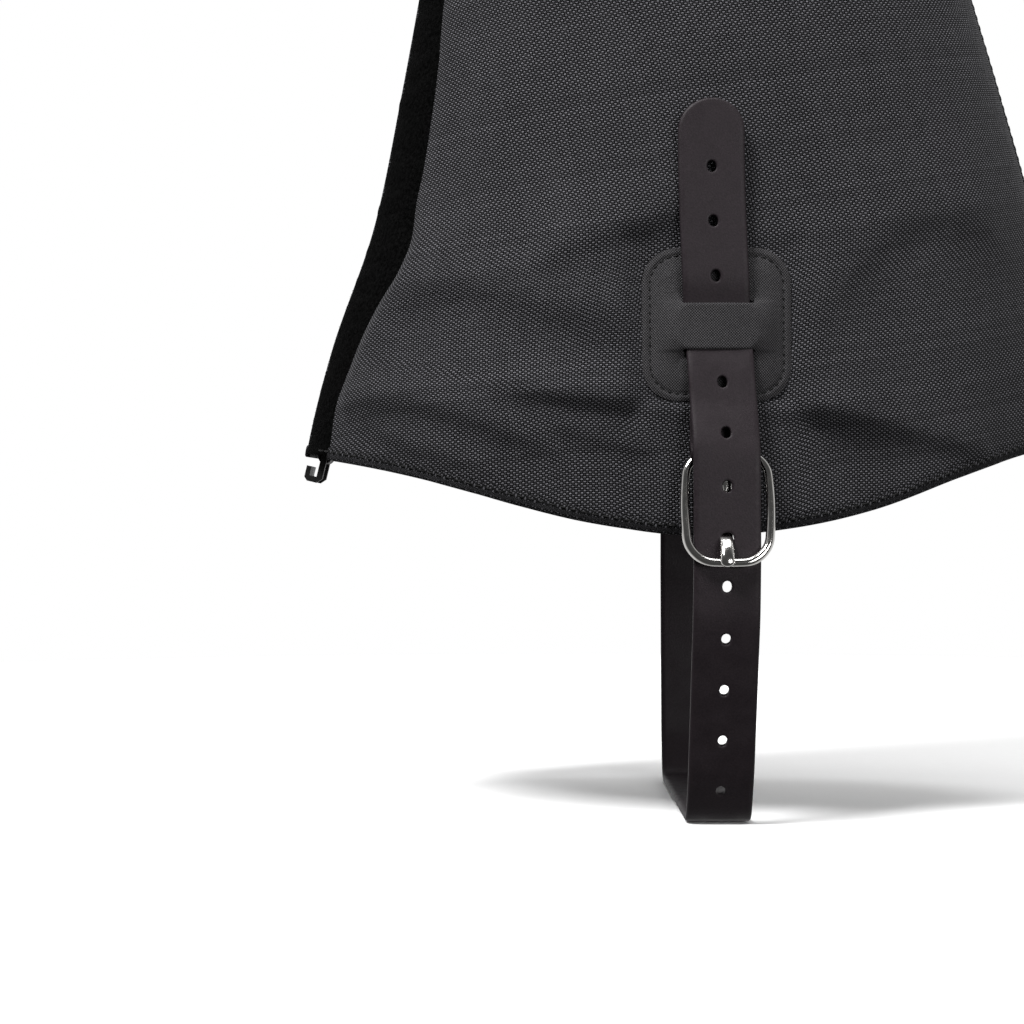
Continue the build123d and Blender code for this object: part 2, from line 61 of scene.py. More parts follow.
# Height, frontmost x, rearmost x, half width: the sections of the CAD tube.
SECTIONS = np.array([
    (-10.0, -118.5, 107.0, 64.0),
    (0.0, -118.0, 107.0, 66.0),
    (23.0, -115.5, 106.0, 66.0),
    (54.0, -108.0, 103.0, 65.0),
    (90.0, -95.6, 98.0, 63.0),
    (131.0, -87.0, 87.0, 60.5),
    (158.0, -82.0, 79.0, 58.5),
    (200.0, -75.0, 68.0, 56.0),
    (240.0, -72.0, 64.0, 56.0),
    (300.0, -73.0, 72.0, 60.0),
    (350.0, -74.0, 78.0, 64.0),
    (400.0, -73.0, 77.0, 65.0),
    (TOP, -72.0, 73.0, 63.0),
])
HEM_LINE = np.array([(-140, 25), (-108, 22), (-79, 16), (-53, 8.6), (-30, 3), (-6, 0), (20, 2), (43, 7),
                     (68, 16), (90, 23), (130, 27)], float)
# Front edge of the flap: z, x. It waves where the cloth bunches over the ankle.
FLAP_EDGE = np.array([
    (0, -110.6), (21, -107), (36, -104.6), (46, -100.6), (57, -95.8), (66, -90.8), (73, -86.2), (82, -82.4),
    (93, -81.2), (104, -79.2), (116, -77.4), (132, -75.2), (153, -73.2), (200, -65), (250, -63), (350, -65),
    (445, -63)], float)
HINGE = ((0.0, -56.0), (TOP, -14.0))     # z, x of the flap's fold line
HEM_WIDE = 3.6
CLOTH = 0.9                              # thickness of the body cloth
PANEL_OUT, FLAP_OUT = 1.15, 3.9          # outer face of the cloth behind the fold line and on the flap
SEAM_OVERLAP = 3.0                       # how far the upper cloth reaches down over the lower one
SEAM_LAP = 0.6                           # how far it stands out over it
CLOTH_TOP = TOP - 1
MEET = 0.004                             # angle at which the two sides stop at the back seam
INNER_FRONT = 3.6                        # the inner side's front edge, from the shin line
# Keeper patch on the outer side and anchor patch on the inner side: middle x and z, width, height, corner.
KEEPER = (0.3, 57.1, 40.0, 42.0, 10.0)
ANCHOR = (0.3, 32.0, 34.0, 36.0, 8.0)
# Instep strap: z, x of its middle line.
STRAP_TILT = np.array([
    (-82, 1.9), (-40, 2.2), (0, 2.4), (28, 2.1), (38, 1.6), (66, 0.0), (104, -1.2), (120, -1.1)], float)


def smooth(x):
    """0 to 1 with level ends."""
    x = np.clip(x, 0.0, 1.0)
    return x * x * (3 - 2 * x)


def curve(table, at, column=1):
    """A table's column as a smooth curve of its first column."""
    xs, ys = table[:, 0], table[:, column]
    slopes = np.gradient(ys, xs)
    at = np.asarray(at, float)
    k = np.clip(np.searchsorted(xs, at) - 1, 0, len(xs) - 2)
    h = xs[k + 1] - xs[k]
    t = np.clip((at - xs[k]) / h, 0, 1)
    a, b = 2 * t**3 - 3 * t**2 + 1, t**3 - 2 * t**2 + t
    c, d = -2 * t**3 + 3 * t**2, t**3 - t**2
    return a * ys[k] + b * h * slopes[k] + c * ys[k + 1] + d * h * slopes[k + 1]


def oval(z):
    """Centre x, half length and half width of the tube at a height."""
    front, back, wide = (curve(SECTIONS, z, c) for c in (1, 2, 3))
    return (front + back) / 2, (back - front) / 2, wide


def on_wall(z, angle, out):
    """Points on the tube's wall. Angle 0 is the heel, -90 degrees the outer side, 180 the shin."""
    middle, long, wide = oval(z)
    x = middle + (long + out) * np.cos(angle)
    y = (wide + out) * np.sin(angle)
    return np.stack(np.broadcast_arrays(x, y, z), axis=-1)


def angle_at(z, x, out=0.0):
    """The angle of a line at x on the outer side, at a distance out from the tube."""
    middle, long, _ = oval(z)
    return -np.arccos(np.clip((x - middle) / (long + out), -1, 1))


def hinge_x(z):
    (z0, x0), (z1, x1) = HINGE
    return x0 + (x1 - x0) * (np.asarray(z, float) - z0) / (z1 - z0)


# ---- Folds in the cloth ----------------------------------------------------------------
# Each: crease line as (x, z) points from left to right, height, steepness, how far it dies out above, and for
# some how quickly it starts and ends.
OUTER_FOLDS = [
    ([(-50, 72), (-44, 74.5), (-28, 80.5), (-10, 86.5), (0, 90)], 3.6, 3.2, 22),
    ([(-100, 46), (-92, 51.9), (-81, 65), (-70.5, 68), (-47, 62.8), (-21, 54.6), (-12, 51)], 5.6, 5.5, 24),
    ([(-106, 35), (-100, 35.6), (-77, 35.6), (-61, 30.2), (-42, 21.5), (-36, 18)], 4.2, 2.8, 15),
    ([(-64, 40.2), (-39, 37), (-20, 34.8), (-4, 33.2)], 5.0, 2.0, 16, 26, 6),
    ([(4, 35.2), (11, 34.8), (29, 32.3), (46.5, 28.5), (56, 26.4)], 5.2, 1.9, 18, 6, 24),
    ([(44, 29.2), (65, 24.7), (80, 20.4)], 2.0, 1.9, 13),
    ([(-47, 30.6), (-28, 24.7), (-15, 21.5)], 2.2, 1.8, 10),
    ([(-92, 28.6), (-70, 20.6), (-52, 14.6)], 2.4, 2.0, 10),
    ([(16, 36), (31, 64), (48, 81.8), (65, 87.3), (86, 79)], 3.0, 5.0, 24),
    ([(-82, 152), (-62, 128), (-40, 116)], 1.8, 8.0, 30),
    ([(-74, 196), (-50, 176), (-26, 170)], 1.6, 8.0, 30),
    ([(30, 176), (52, 160), (74, 158)], 1.6, 8.0, 30),
    ([(-60, 252), (-30, 240), (4, 244)], 2.0, 8.0, 36),
    ([(8, 300), (36, 282), (62, 288)], 2.0, 8.0, 40),
    ([(-56, 352), (-20, 338), (20, 344)], 1.7, 9.0, 40),
]
INNER_FOLDS = [
    ([(-96, 52), (-70, 64), (-34, 58), (-12, 50)], 2.8, 4.0, 24),
    ([(14, 46), (40, 70), (70, 82)], 2.0, 4.0, 24),
    ([(-90, 33), (-60, 30), (-36, 22)], 2.2, 2.2, 14),
    ([(14, 34), (42, 30), (66, 24)], 2.8, 1.8, 16),
    ([(-50, 112), (-16, 104), (20, 110)], 1.2, 6.0, 30),
    ([(-44, 182), (-4, 172), (30, 180)], 1.0, 8.0, 34),
    ([(-40, 262), (4, 250), (40, 258)], 1.4, 8.0, 40),
    ([(-46, 342), (0, 330), (44, 340)], 1.2, 9.0, 40),
]


def fold_height(x, z, folds):
    """How far the folds push the cloth out: each overhangs its crease and dies out above it."""
    total = np.zeros(np.broadcast(x, z).shape)
    for points, height, steep, reach, *ease in folds:
        line = np.array(points, float)
        span = line[-1, 0] - line[0, 0]
        left, right = ease or (0.3 * span, 0.3 * span)
        level = curve(line, x)
        slope = curve(line, x + 0.5) - curve(line, x - 0.5)
        away = (z - level) / np.sqrt(1 + slope**2)
        ends = smooth((x - line[0, 0] + 2) / left) * smooth((line[-1, 0] + 2 - x) / right)
        rise = 1 / (1 + np.exp(-np.clip(away / steep * 1.8, -30, 30)))
        total += height * ends * rise * np.exp(-np.maximum(away, 0) / reach)
    return total


def ripple(x, z, seed):
    """Shallow unevenness of hanging cloth, about half a millimetre either way."""
    rng = random.Random(seed)
    total = np.zeros(np.broadcast(x, z).shape)
    for _ in range(9):
        turn = rng.uniform(0, math.tau)
        wave = rng.uniform(26, 90)
        along = (x * math.cos(turn) + z * math.sin(turn)) / wave * math.tau
        total += 0.17 * np.sin(along + rng.uniform(0, math.tau))
    return total


def calm_ends(x, z):
    """0 at the shin and at the back seam, so that both sides meet there, and under the top cuff."""
    front, back = curve(SECTIONS, z, 1), curve(SECTIONS, z, 2)
    return smooth((x - front + 1) / 10) * smooth((back - x) / 16) * smooth((412 - z) / 22)


def flat_under(x, z, half_wide, level, half_tall):
    """1 on free cloth and nearly 0 where a patch holds it flat."""
    beside = smooth((np.abs(x - KEEPER[0]) - half_wide) / 9)
    above = smooth((np.abs(z - level) - half_tall) / 8)
    return 0.05 + 0.95 * np.maximum(beside, above)


def outer_relief(x, z):
    """Folds and ripples of the outer side."""
    relief = fold_height(x, z, OUTER_FOLDS) + 0.6 * ripple(x, z, 5) + 0.4
    return relief * flat_under(x, z, 17, 57, 19) * calm_ends(x, z)


def inner_relief(x, z):
    """Folds and ripples of the inner side."""
    relief = fold_height(x, z, INNER_FOLDS) + 0.6 * ripple(x, z, 9) + 0.3
    return relief * flat_under(x, z, 15, 32, 16) * calm_ends(x, z)


def quiet(x, z):
    """No relief, for pieces that are held flat."""
    return np.zeros(np.broadcast(x, z).shape)


# ---- Mesh helpers ----------------------------------------------------------------------
def new_mesh(name, verts, faces, uv=None, slot=None):
    """A smooth-shaded object from points in millimetres, with an optional (u, v) for every point."""
    mesh = bpy.data.meshes.new(name)
    mesh.from_pydata([tuple(p) for p in np.asarray(verts, float) * MM], [], faces)
    mesh.validate()
    mesh.polygons.foreach_set("use_smooth", [True] * len(mesh.polygons))
    if uv is not None:
        layer = mesh.uv_layers.new(name="Cloth")
        corners = np.zeros(len(mesh.loops), np.int32)
        mesh.loops.foreach_get("vertex_index", corners)
        layer.data.foreach_set("uv", (np.asarray(uv, float)[corners] * MM).ravel())
    mesh.update()
    piece = bpy.data.objects.new(name, mesh)
    bpy.context.scene.collection.objects.link(piece)
    if slot:
        mesh.materials.append(MATERIALS[slot])
    return piece


def border(rows, columns):
    """Indices round a grid's edge, in order."""
    top = list(range(columns))
    right = [r * columns + columns - 1 for r in range(1, rows)]
    bottom = [(rows - 1) * columns + c for c in range(columns - 2, -1, -1)]
    left = [r * columns for r in range(rows - 2, 0, -1)]
    return top + right + bottom + left


def shell(name, outer, inner, slot, uv):
    """A closed sheet between two grids of points, its edges rounded over."""
    rows, columns = outer.shape[:2]
    n = rows * columns
    quads = [(r * columns + c, r * columns + c + 1, (r + 1) * columns + c + 1, (r + 1) * columns + c)
             for r in range(rows - 1) for c in range(columns - 1)]
    edge = border(rows, columns)
    flat_out, flat_in, flat_uv = outer.reshape(-1, 3), inner.reshape(-1, 3), uv.reshape(-1, 2)
    middle = (flat_out[edge] + flat_in[edge]) / 2
    centre_r = np.clip(np.array(edge) // columns, 1, rows - 2)
    centre_c = np.clip(np.array(edge) % columns, 1, columns - 2)
    inside = (flat_out + flat_in)[centre_r * columns + centre_c] / 2
    away = middle - inside
    away /= np.maximum(np.linalg.norm(away, axis=1, keepdims=True), 1e-9)
    thick = np.linalg.norm(flat_out[edge] - flat_in[edge], axis=1, keepdims=True)
    lip = middle + away * thick / 2
    verts = np.vstack([flat_out, flat_in, lip])
    faces = quads + [tuple(n + i for i in reversed(q)) for q in quads]
    m = len(edge)
    for k in range(m):
        a, b = edge[k], edge[(k + 1) % m]
        la, lb = 2 * n + k, 2 * n + (k + 1) % m
        faces.append((b, a, la, lb))
        faces.append((lb, la, n + a, n + b))
    return new_mesh(name, verts, faces, np.vstack([flat_uv, flat_uv, flat_uv[edge]]), slot)


def lengths(points, start_row=0, start_column=0):
    """(u, v) of a grid of points by the distance along its rows and its columns."""
    across = np.linalg.norm(np.diff(points, axis=1), axis=2)
    u = np.concatenate([np.zeros((points.shape[0], 1)), np.cumsum(across, axis=1)], axis=1)
    up = np.linalg.norm(np.diff(points, axis=0), axis=2)
    v = np.concatenate([np.zeros((1, points.shape[1])), np.cumsum(up, axis=0)], axis=0)
    u = u - u[:, start_column:start_column + 1]
    v = v - v[start_row:start_row + 1]
    return np.stack([u, v], axis=-1)


def travelled(points):
    """Distance along a path at each of its points."""
    return np.concatenate([[0], np.cumsum(np.linalg.norm(np.diff(points, axis=0), axis=1))])


def side_grid(low, high, first, last, rows, columns):
    """z and angle of a grid on the wall. low and high give z from x, first and last the angle from z."""
    share_r = np.linspace(0, 1, rows)[:, None]
    share_c = np.linspace(0, 1, columns)[None, :]
    z = np.full((rows, columns), 60.0)
    for _ in range(12):
        angle = first(z) + (last(z) - first(z)) * share_c
        x = on_wall(z, angle, 0)[..., 0]
        z = low(x) + (high(x) - low(x)) * share_r
    return z, first(z) + (last(z) - first(z)) * share_c


def hem_z(x, lift=0.0):
    return curve(HEM_LINE, x) + lift


def flat_z(value):
    return lambda x: np.full(np.shape(x), float(value))


def even_angle(value):
    return lambda z: np.full(np.shape(z), value)


def shin_angle(past):
    """The angle of a line at a distance past the shin on the inner side, as a function of height."""
    return lambda z: np.pi - past / oval(z)[2]


def fix_normals(piece):
    """Turns every face of a closed piece outwards."""
    work = bmesh.new()
    work.from_mesh(piece.data)
    bmesh.ops.recalc_face_normals(work, faces=work.faces)
    work.to_mesh(piece.data)
    work.free()


# ---- Materials -------------------------------------------------------------------------
class Nodes:
    """Short names for building one material's nodes."""

    def __init__(self, name, **sockets):
        self.material = bpy.data.materials.new(name)
        self.material.use_nodes = True
        self.tree = self.material.node_tree
        self.shader = self.tree.nodes["Principled BSDF"]
        for socket, value in sockets.items():
            self.shader.inputs[socket.replace("_", " ")].default_value = value

    def add(self, kind, **settings):
        node = self.tree.nodes.new(kind)
        for key, value in settings.items():
            setattr(node, key, value)
        return node

    def put(self, socket, value):
        if isinstance(value, bpy.types.NodeSocket):
            self.tree.links.new(value, socket)
        else:
            socket.default_value = value

    def math(self, operation, a, b=0.0, c=0.0):
        node = self.add("ShaderNodeMath", operation=operation)
        for socket, value in zip(node.inputs, (a, b, c)):
            self.put(socket, value)
        return node.outputs[0]

    def mix(self, factor, a, b):
        node = self.add("ShaderNodeMix", data_type="RGBA")
        self.put(node.inputs[0], factor)
        self.put(node.inputs[6], a)
        self.put(node.inputs[7], b)
        return node.outputs[2]

    def blend(self, factor, a, b):
        node = self.add("ShaderNodeMix", data_type="FLOAT")
        self.put(node.inputs[0], factor)
        self.put(node.inputs[2], a)
        self.put(node.inputs[3], b)
        return node.outputs[0]

    def cloth_uv(self, turn=0.0):
        """u and v of the cloth in millimetres, turned by an angle in degrees."""
        uv = self.add("ShaderNodeUVMap", uv_map="Cloth")
        place = self.add("ShaderNodeMapping")
        self.put(place.inputs["Vector"], uv.outputs[0])
        place.inputs["Scale"].default_value = (1000, 1000, 1000)
        place.inputs["Rotation"].default_value = (0, 0, math.radians(turn))
        split = self.add("ShaderNodeSeparateXYZ")
        self.put(split.inputs[0], place.outputs[0])
        return split.outputs[0], split.outputs[1]

    def space(self):
        return self.add("ShaderNodeTexCoord").outputs["Object"]

    def noise(self, size_mm, detail=2.0, vector=None, rough=0.5):
        """Noise from 0 to 1 whose lumps are about size_mm across."""
        node = self.add("ShaderNodeTexNoise")
        self.put(node.inputs["Vector"], vector or self.space())
        node.inputs["Scale"].default_value = 1000.0 / size_mm
        node.inputs["Detail"].default_value = detail
        node.inputs["Roughness"].default_value = rough
        return node.outputs[0]

    def ramp(self, value, low, high, low_out=0.0, high_out=1.0):
        node = self.add("ShaderNodeMapRange", interpolation_type="SMOOTHSTEP")
        for socket, number in zip(node.inputs, (value, low, high, low_out, high_out)):
            self.put(socket, number)
        return node.outputs[0]

    def bump(self, height, deep_mm, strength=1.0, under=None):
        node = self.add("ShaderNodeBump")
        node.inputs["Distance"].default_value = deep_mm * MM
        node.inputs["Strength"].default_value = strength
        self.put(node.inputs["Height"], height)
        if under is not None:
            self.put(node.inputs["Normal"], under)
        return node.outputs[0]

    def grey(self, level, tint=(1.0, 1.0, 1.0)):
        """A colour from one brightness and a tint."""
        colour = self.add("ShaderNodeCombineColor")
        for socket, share in zip(colour.inputs, tint):
            self.put(socket, level if share == 1.0 else self.math("MULTIPLY", level, share))
        return colour.outputs[0]

    def finish(self, colour=None, rough=None, normal=None):
        for name, value in (("Base Color", colour), ("Roughness", rough), ("Normal", normal)):
            if value is not None:
                self.put(self.shader.inputs[name], value)
        return self.material


def plain_weave(n, u, v, warp, weft):
    """Height and which-yarn-is-on-top of a plain weave with yarns warp and weft millimetres apart."""
    a, b = n.math("DIVIDE", u, warp), n.math("DIVIDE", v, weft)
    column, row = n.math("FLOOR", a), n.math("FLOOR", b)
    over = n.math("MODULO", n.math("ADD", n.math("ADD", column, row), 20000), 2)
    over = n.math("GREATER_THAN", over, 0.5)
    across = n.math("MULTIPLY", n.math("SUBTRACT", n.math("FRACT", a), 0.5), 2)
    along = n.math("MULTIPLY", n.math("SUBTRACT", n.math("FRACT", b), 0.5), 2)
    sq_a, sq_b = n.math("MULTIPLY", across, across), n.math("MULTIPLY", along, along)
    four_a, four_b = n.math("MULTIPLY", sq_a, sq_a), n.math("MULTIPLY", sq_b, sq_b)
    weft_top = n.math("MULTIPLY", n.math("SUBTRACT", 1, sq_b),
                      n.math("MULTIPLY_ADD", four_a, -0.75, 1))
    warp_top = n.math("MULTIPLY", n.math("SUBTRACT", 1, sq_a),
                      n.math("MULTIPLY_ADD", four_b, -0.75, 1))
    return n.blend(over, warp_top, weft_top), over, column, row


def yarn_tint(n, index, seed):
    """A number from 0 to 1 that differs from yarn to yarn."""
    node = n.add("ShaderNodeTexWhiteNoise", noise_dimensions="1D")
    n.put(node.inputs["W"], n.math("ADD", index, seed))
    return node.outputs[0]


def woven_with_painted_light(name, warp, weft, turn, bright, dark, deep, rough):
    """Woven cloth with painted light: floats one way painted bright as a painted sheen, darker floats the
    other way, and painted shade in the pits between them.
    """
    n = Nodes(name, Specular_IOR_Level=0.05)
    u, v = n.cloth_uv(turn)
    height, over, column, row = plain_weave(n, u, v, warp, weft)
    yarn = n.blend(over, yarn_tint(n, column, 0.5), yarn_tint(n, row, 71.5))
    cloudy = n.noise(34, 3)
    worn = n.noise(5, 2)
    # painted highlight: the floats that run one way get a far brighter colour, standing in for their glint
    level = n.blend(over, dark, bright)
    # painted shade: the colour falls to black towards the pits between the yarns
    level = n.math("MULTIPLY", level, n.ramp(height, 0.25, 0.78, 0.0, 1.0))
    level = n.math("MULTIPLY", level, n.math("MULTIPLY_ADD", yarn, 0.3, 0.85))
    level = n.math("MULTIPLY", level, n.math("MULTIPLY_ADD", cloudy, 0.35, 0.82))
    level = n.math("MULTIPLY", level, n.math("MULTIPLY_ADD", worn, 0.3, 0.85))
    normal = n.bump(height, deep, 0.9, n.bump(n.noise(2.2, 2), 0.05))
    return n.finish(n.grey(level, (1, 0.985, 1.07)), n.ramp(height, 0, 1, rough + 0.2, rough), normal)


def twill(name, base):
    """Fine coated twill: close diagonal ribs crossed by faint threads, painted pale on the ribs and dark in
    the grooves as painted light and shade.
    """
    n = Nodes(name, Specular_IOR_Level=0.15, Sheen_Weight=0.02, Sheen_Roughness=0.5)
    u, v = n.cloth_uv(0)
    slant = n.math("MULTIPLY", n.math("ADD", n.math("MULTIPLY", u, 1.15), v), 1 / 0.80)
    rib = n.math("SINE", n.math("MULTIPLY", slant, math.tau))
    thread = n.math("SINE", n.math("MULTIPLY", n.math("SUBTRACT", u, v), math.tau / 0.75))
    height = n.math("ADD", n.math("MULTIPLY", rib, 0.6), n.math("MULTIPLY", thread, 0.5))
    patchy = n.noise(9, 3)
    # painted shade and highlight: the colour follows the rib height, dark in the grooves and pale on the ribs
    level = n.math("MAXIMUM", n.math("MULTIPLY_ADD", height, 1.5 * base, base), 0.1 * base)
    level = n.math("MULTIPLY", level, n.math("MULTIPLY_ADD", patchy, 0.5, 0.75))
    normal = n.bump(height, 0.10, 0.8, n.bump(n.noise(3.5, 2), 0.12))
    return n.finish(n.grey(level, (1.03, 0.98, 1.05)), n.ramp(patchy, 0.3, 0.7, 0.5, 0.62), normal)


def rubber(name, base):
    """Matt coated strap: fine pebble, faint scuffs and slightly paler rubbed spots."""
    n = Nodes(name, Specular_IOR_Level=0.16)
    grain = n.noise(0.42, 3)
    scuff = n.noise(7, 4, rough=0.65)
    level = n.math("MULTIPLY_ADD", scuff, 0.5 * base, 0.75 * base)
    level = n.math("MULTIPLY", level, n.math("MULTIPLY_ADD", grain, 1.1, 0.45))
    normal = n.bump(grain, 0.06, 0.8, n.bump(n.noise(4, 2), 0.10, 0.5))
    return n.finish(n.grey(level, (1.24, 0.92, 1.10)), n.ramp(scuff, 0.35, 0.7, 0.46, 0.6), normal)


def pile(name, base):
    """Fuzzy loop pile: clumped, very dark and matt."""
    n = Nodes(name, Specular_IOR_Level=0.01)
    clumps = n.noise(1.1, 4, rough=0.7)
    hairs = n.noise(0.28, 2)
    rows = n.add("ShaderNodeTexVoronoi")
    n.put(rows.inputs["Vector"], n.space())
    rows.inputs["Scale"].default_value = 1000 / 1.25
    matted = n.math("ADD", clumps, n.math("MULTIPLY", hairs, 0.4))
    level = n.ramp(matted, 0.5, 0.95, 0.25 * base, 2.2 * base)
    height = n.math("ADD", clumps, n.math("MULTIPLY", rows.outputs[0], -0.6))
    normal = n.bump(height, 0.55, 1.0, n.bump(hairs, 0.2))
    return n.finish(n.grey(level), 0.95, normal)


def hooks(name, base):
    """Moulded hooks in close rows, painted pale on their tops and dark between them as painted shade."""
    n = Nodes(name, Specular_IOR_Level=0.35)
    u, v = n.cloth_uv(0)
    dots = n.math("MULTIPLY", n.math("SINE", n.math("MULTIPLY", u, math.tau / 1.5)),
                  n.math("SINE", n.math("MULTIPLY", v, math.tau / 1.2)))
    # painted shade: the colour follows the hooks' height, darker between them
    level = n.ramp(dots, -0.2, 0.8, 0.4 * base, 1.6 * base)
    return n.finish(n.grey(level), 0.5, n.bump(dots, 0.5, 1.0))


def ribbed(name, base, pitch, deep=0.18):
    """Flat webbing or elastic: close ribs across, edge threads along, with painted shade in the grooves
    between the ribs.
    """
    n = Nodes(name, Specular_IOR_Level=0.3, Sheen_Weight=0.15, Sheen_Roughness=0.5)
    u, v = n.cloth_uv(0)
    rib = n.math("ABSOLUTE", n.math("SINE", n.math("MULTIPLY", u, math.pi / pitch)))
    thread = n.math("ABSOLUTE", n.math("SINE", n.math("MULTIPLY", v, math.pi / 1.1)))
    height = n.math("MULTIPLY", rib, n.math("MULTIPLY_ADD", thread, 0.5, 0.5))
    # painted shade: the colour follows the rib height, darker in the grooves between the ribs
    level = n.math("MULTIPLY_ADD", height, 0.9 * base, 0.5 * base)
    level = n.math("MULTIPLY", level, n.math("MULTIPLY_ADD", n.noise(6, 3), 0.5, 0.75))
    return n.finish(n.grey(level), 0.62, n.bump(height, deep, 0.9))


def nickel(name, tone=0.74):
    """Polished nickel plate with faint wear and hairline polishing marks."""
    n = Nodes(name, Metallic=1.0)
    wear = n.noise(3.0, 4, rough=0.6)
    fine = n.noise(0.5, 2)
    colour = n.mix(n.ramp(wear, 0.42, 0.75), (tone, tone * 0.985, tone * 0.955, 1),
                   (tone * 0.80, tone * 0.77, tone * 0.73, 1))
    rough = n.math("ADD", n.ramp(wear, 0.35, 0.8, 0.07, 0.17), n.math("MULTIPLY", fine, 0.03))
    return n.finish(colour, rough, n.bump(fine, 0.012, 0.5, n.bump(n.noise(5, 1), 0.05, 0.5)))


def moulded(name, base):
    """Moulded plastic with a fine spark-eroded grain."""
    n = Nodes(name, Specular_IOR_Level=0.45)
    grain = n.noise(0.5, 3)
    dull = n.noise(8, 3)
    level = n.math("MULTIPLY_ADD", dull, 0.4 * base, 0.8 * base)
    return n.finish(n.grey(level), n.ramp(dull, 0.3, 0.7, 0.38, 0.52), n.bump(grain, 0.03, 0.8))


def black_steel(name, base):
    """Black coating on steel wire, rubbed paler in spots."""
    n = Nodes(name, Specular_IOR_Level=0.3)
    rubbed = n.noise(1.6, 4, rough=0.6)
    level = n.ramp(rubbed, 0.5, 0.85, base, 3.0 * base)
    rough = n.ramp(rubbed, 0.35, 0.8, 0.42, 0.3)
    return n.finish(n.grey(level), rough, n.bump(n.noise(0.6, 2), 0.03))


def thread(name, base):
    """Twisted sewing thread."""
    n = Nodes(name, Specular_IOR_Level=0.15)
    twist = n.noise(0.25, 2)
    level = n.math("MULTIPLY_ADD", twist, base, 0.5 * base)
    return n.finish(n.grey(level), 0.5, n.bump(twist, 0.06))


MATERIALS = {
    # The woven cloths' bright and dark float levels hold a painted sheen, and their pits get painted shade
    "ballistic_cloth": woven_with_painted_light("ballistic_cloth", 0.80, 0.62, -8, 0.108, 0.021, 0.34, 0.5),
    "upper_cloth": woven_with_painted_light("upper_cloth", 0.55, 0.5, 0, 0.040, 0.014, 0.09, 0.5),
    "hem_cloth": woven_with_painted_light("hem_cloth", 0.62, 0.5, -20, 0.055, 0.006, 0.18, 0.55),
    "coated_patch": twill("coated_patch", 0.024),
    "strap_rubber": rubber("strap_rubber", 0.0128),
    "loop_tape": pile("loop_tape", 0.0020),
    "hook_tape": hooks("hook_tape", 0.012),
    "webbing": ribbed("webbing", 0.030, 1.0),
    "elastic": ribbed("elastic", 0.025, 1.4, 0.3),
    "seam_tape": rubber("seam_tape", 0.09),
    "nickel": nickel("nickel"),
    "dark_steel": black_steel("dark_steel", 0.007),
    "cam_plastic": moulded("cam_plastic", 0.022),
}
THREAD = thread("thread", 0.008)


# ---- Cloth pieces ----------------------------------------------------------------------
def cloth_sheet(name, slot, zs, angles, out, thick, relief, replaces, column_zero):
    """A wall layer: out is the distance of its outer face from the tube, before the relief."""
    flat = on_wall(zs, angles, 0)
    lift = relief(flat[..., 0], zs)
    outer = on_wall(zs, angles, out + lift)
    inner = on_wall(zs, angles, out + lift - thick)
    piece = shell(name, outer, inner, slot, lengths(outer, zs.shape[0] - 1, column_zero))
    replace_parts(piece, *replaces)
    return piece


def flap_share(x, z):
    """1 on the flap, 0 on the fixed side, easing over the fold line."""
    return smooth((hinge_x(z) + 12 - x) / 30)


def seam_lap(z):
    """How far the upper cloth is pushed out where it laps over the lower one."""
    return SEAM_LAP * smooth((SEAM + 9 - z) / 8)


def outer_face(x, z):
    """Outer face of the outer cloth, which stands off over the fastener, leaving out the seam's lap."""
    return PANEL_OUT + (FLAP_OUT - PANEL_OUT) * flap_share(x, z)


def cloth_face(x, z, outer_side_of=True):
    """The outermost cloth at a point of either side, before its relief."""
    if outer_side_of:
        return outer_face(x, z) + seam_lap(z) * (z > SEAM - 3.2)
    return PANEL_OUT + seam_lap(z) * (z > SEAM - 3.2)


def side_relief(x, z, outer_side_of):
    return outer_relief(x, z) if outer_side_of else inner_relief(x, z)


def flap_angle(z, shift=0.0):
    """Where the flap's front edge is, or a line at a distance behind it."""
    return angle_at(z, curve(FLAP_EDGE, z) + shift, FLAP_OUT)


def hinge_blend(piece):
    """Bakes a piece's placement into its mesh."""
    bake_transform(piece)


def outer_side(name, low, high, rows, columns, slot, replaces):
    """The outer cloth from the flap's edge round to the back seam, stepping out over the fold line."""
    zs, angles = side_grid(low, high, flap_angle, even_angle(-MEET), rows, columns)
    x = on_wall(zs, angles, 0)[..., 0]
    near_edge = smooth((x - curve(FLAP_EDGE, zs)) / EDGE_CALM)
    face = cloth_face(x, zs) if slot == "upper_cloth" else outer_face(x, zs)
    piece = cloth_sheet(name, slot, zs, angles, face, CLOTH, lambda a, z: outer_relief(a, z) * near_edge,
                        replaces, int(columns * 0.45))
    hinge_blend(piece)


EDGE_CALM = 7.0              # the folds die out over this distance from the flap's edge
above_hem = lambda x: hem_z(x, HEM_WIDE - 0.6)
outer_side("outer_cloth_lower", above_hem, flat_z(SEAM), 124, 200, "ballistic_cloth",
           ["lateral_panel_lower", "front_flap"])
outer_side("outer_cloth_upper", flat_z(SEAM - SEAM_OVERLAP), flat_z(CLOTH_TOP), 92, 120, "upper_cloth",
           ["lateral_panel_upper"])


def medial_side(name, low, high, rows, columns, slot, replaces):
    """The inner side's cloth, from just past the shin round to the back seam."""
    zs, angles = side_grid(low, high, even_angle(MEET), shin_angle(INNER_FRONT), rows, columns)
    face = PANEL_OUT + (seam_lap(zs) if slot == "upper_cloth" else 0.0)
    piece = cloth_sheet(name, slot, zs, angles, face, CLOTH, inner_relief, replaces, columns // 2)
    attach(piece, "root")


medial_side("medial_cloth_lower", above_hem, flat_z(SEAM), 110, 180, "ballistic_cloth",
            ["medial_panel_lower"])
medial_side("medial_cloth_upper", flat_z(SEAM - SEAM_OVERLAP), flat_z(CLOTH_TOP), 80, 110, "upper_cloth",
            ["medial_panel_upper"])


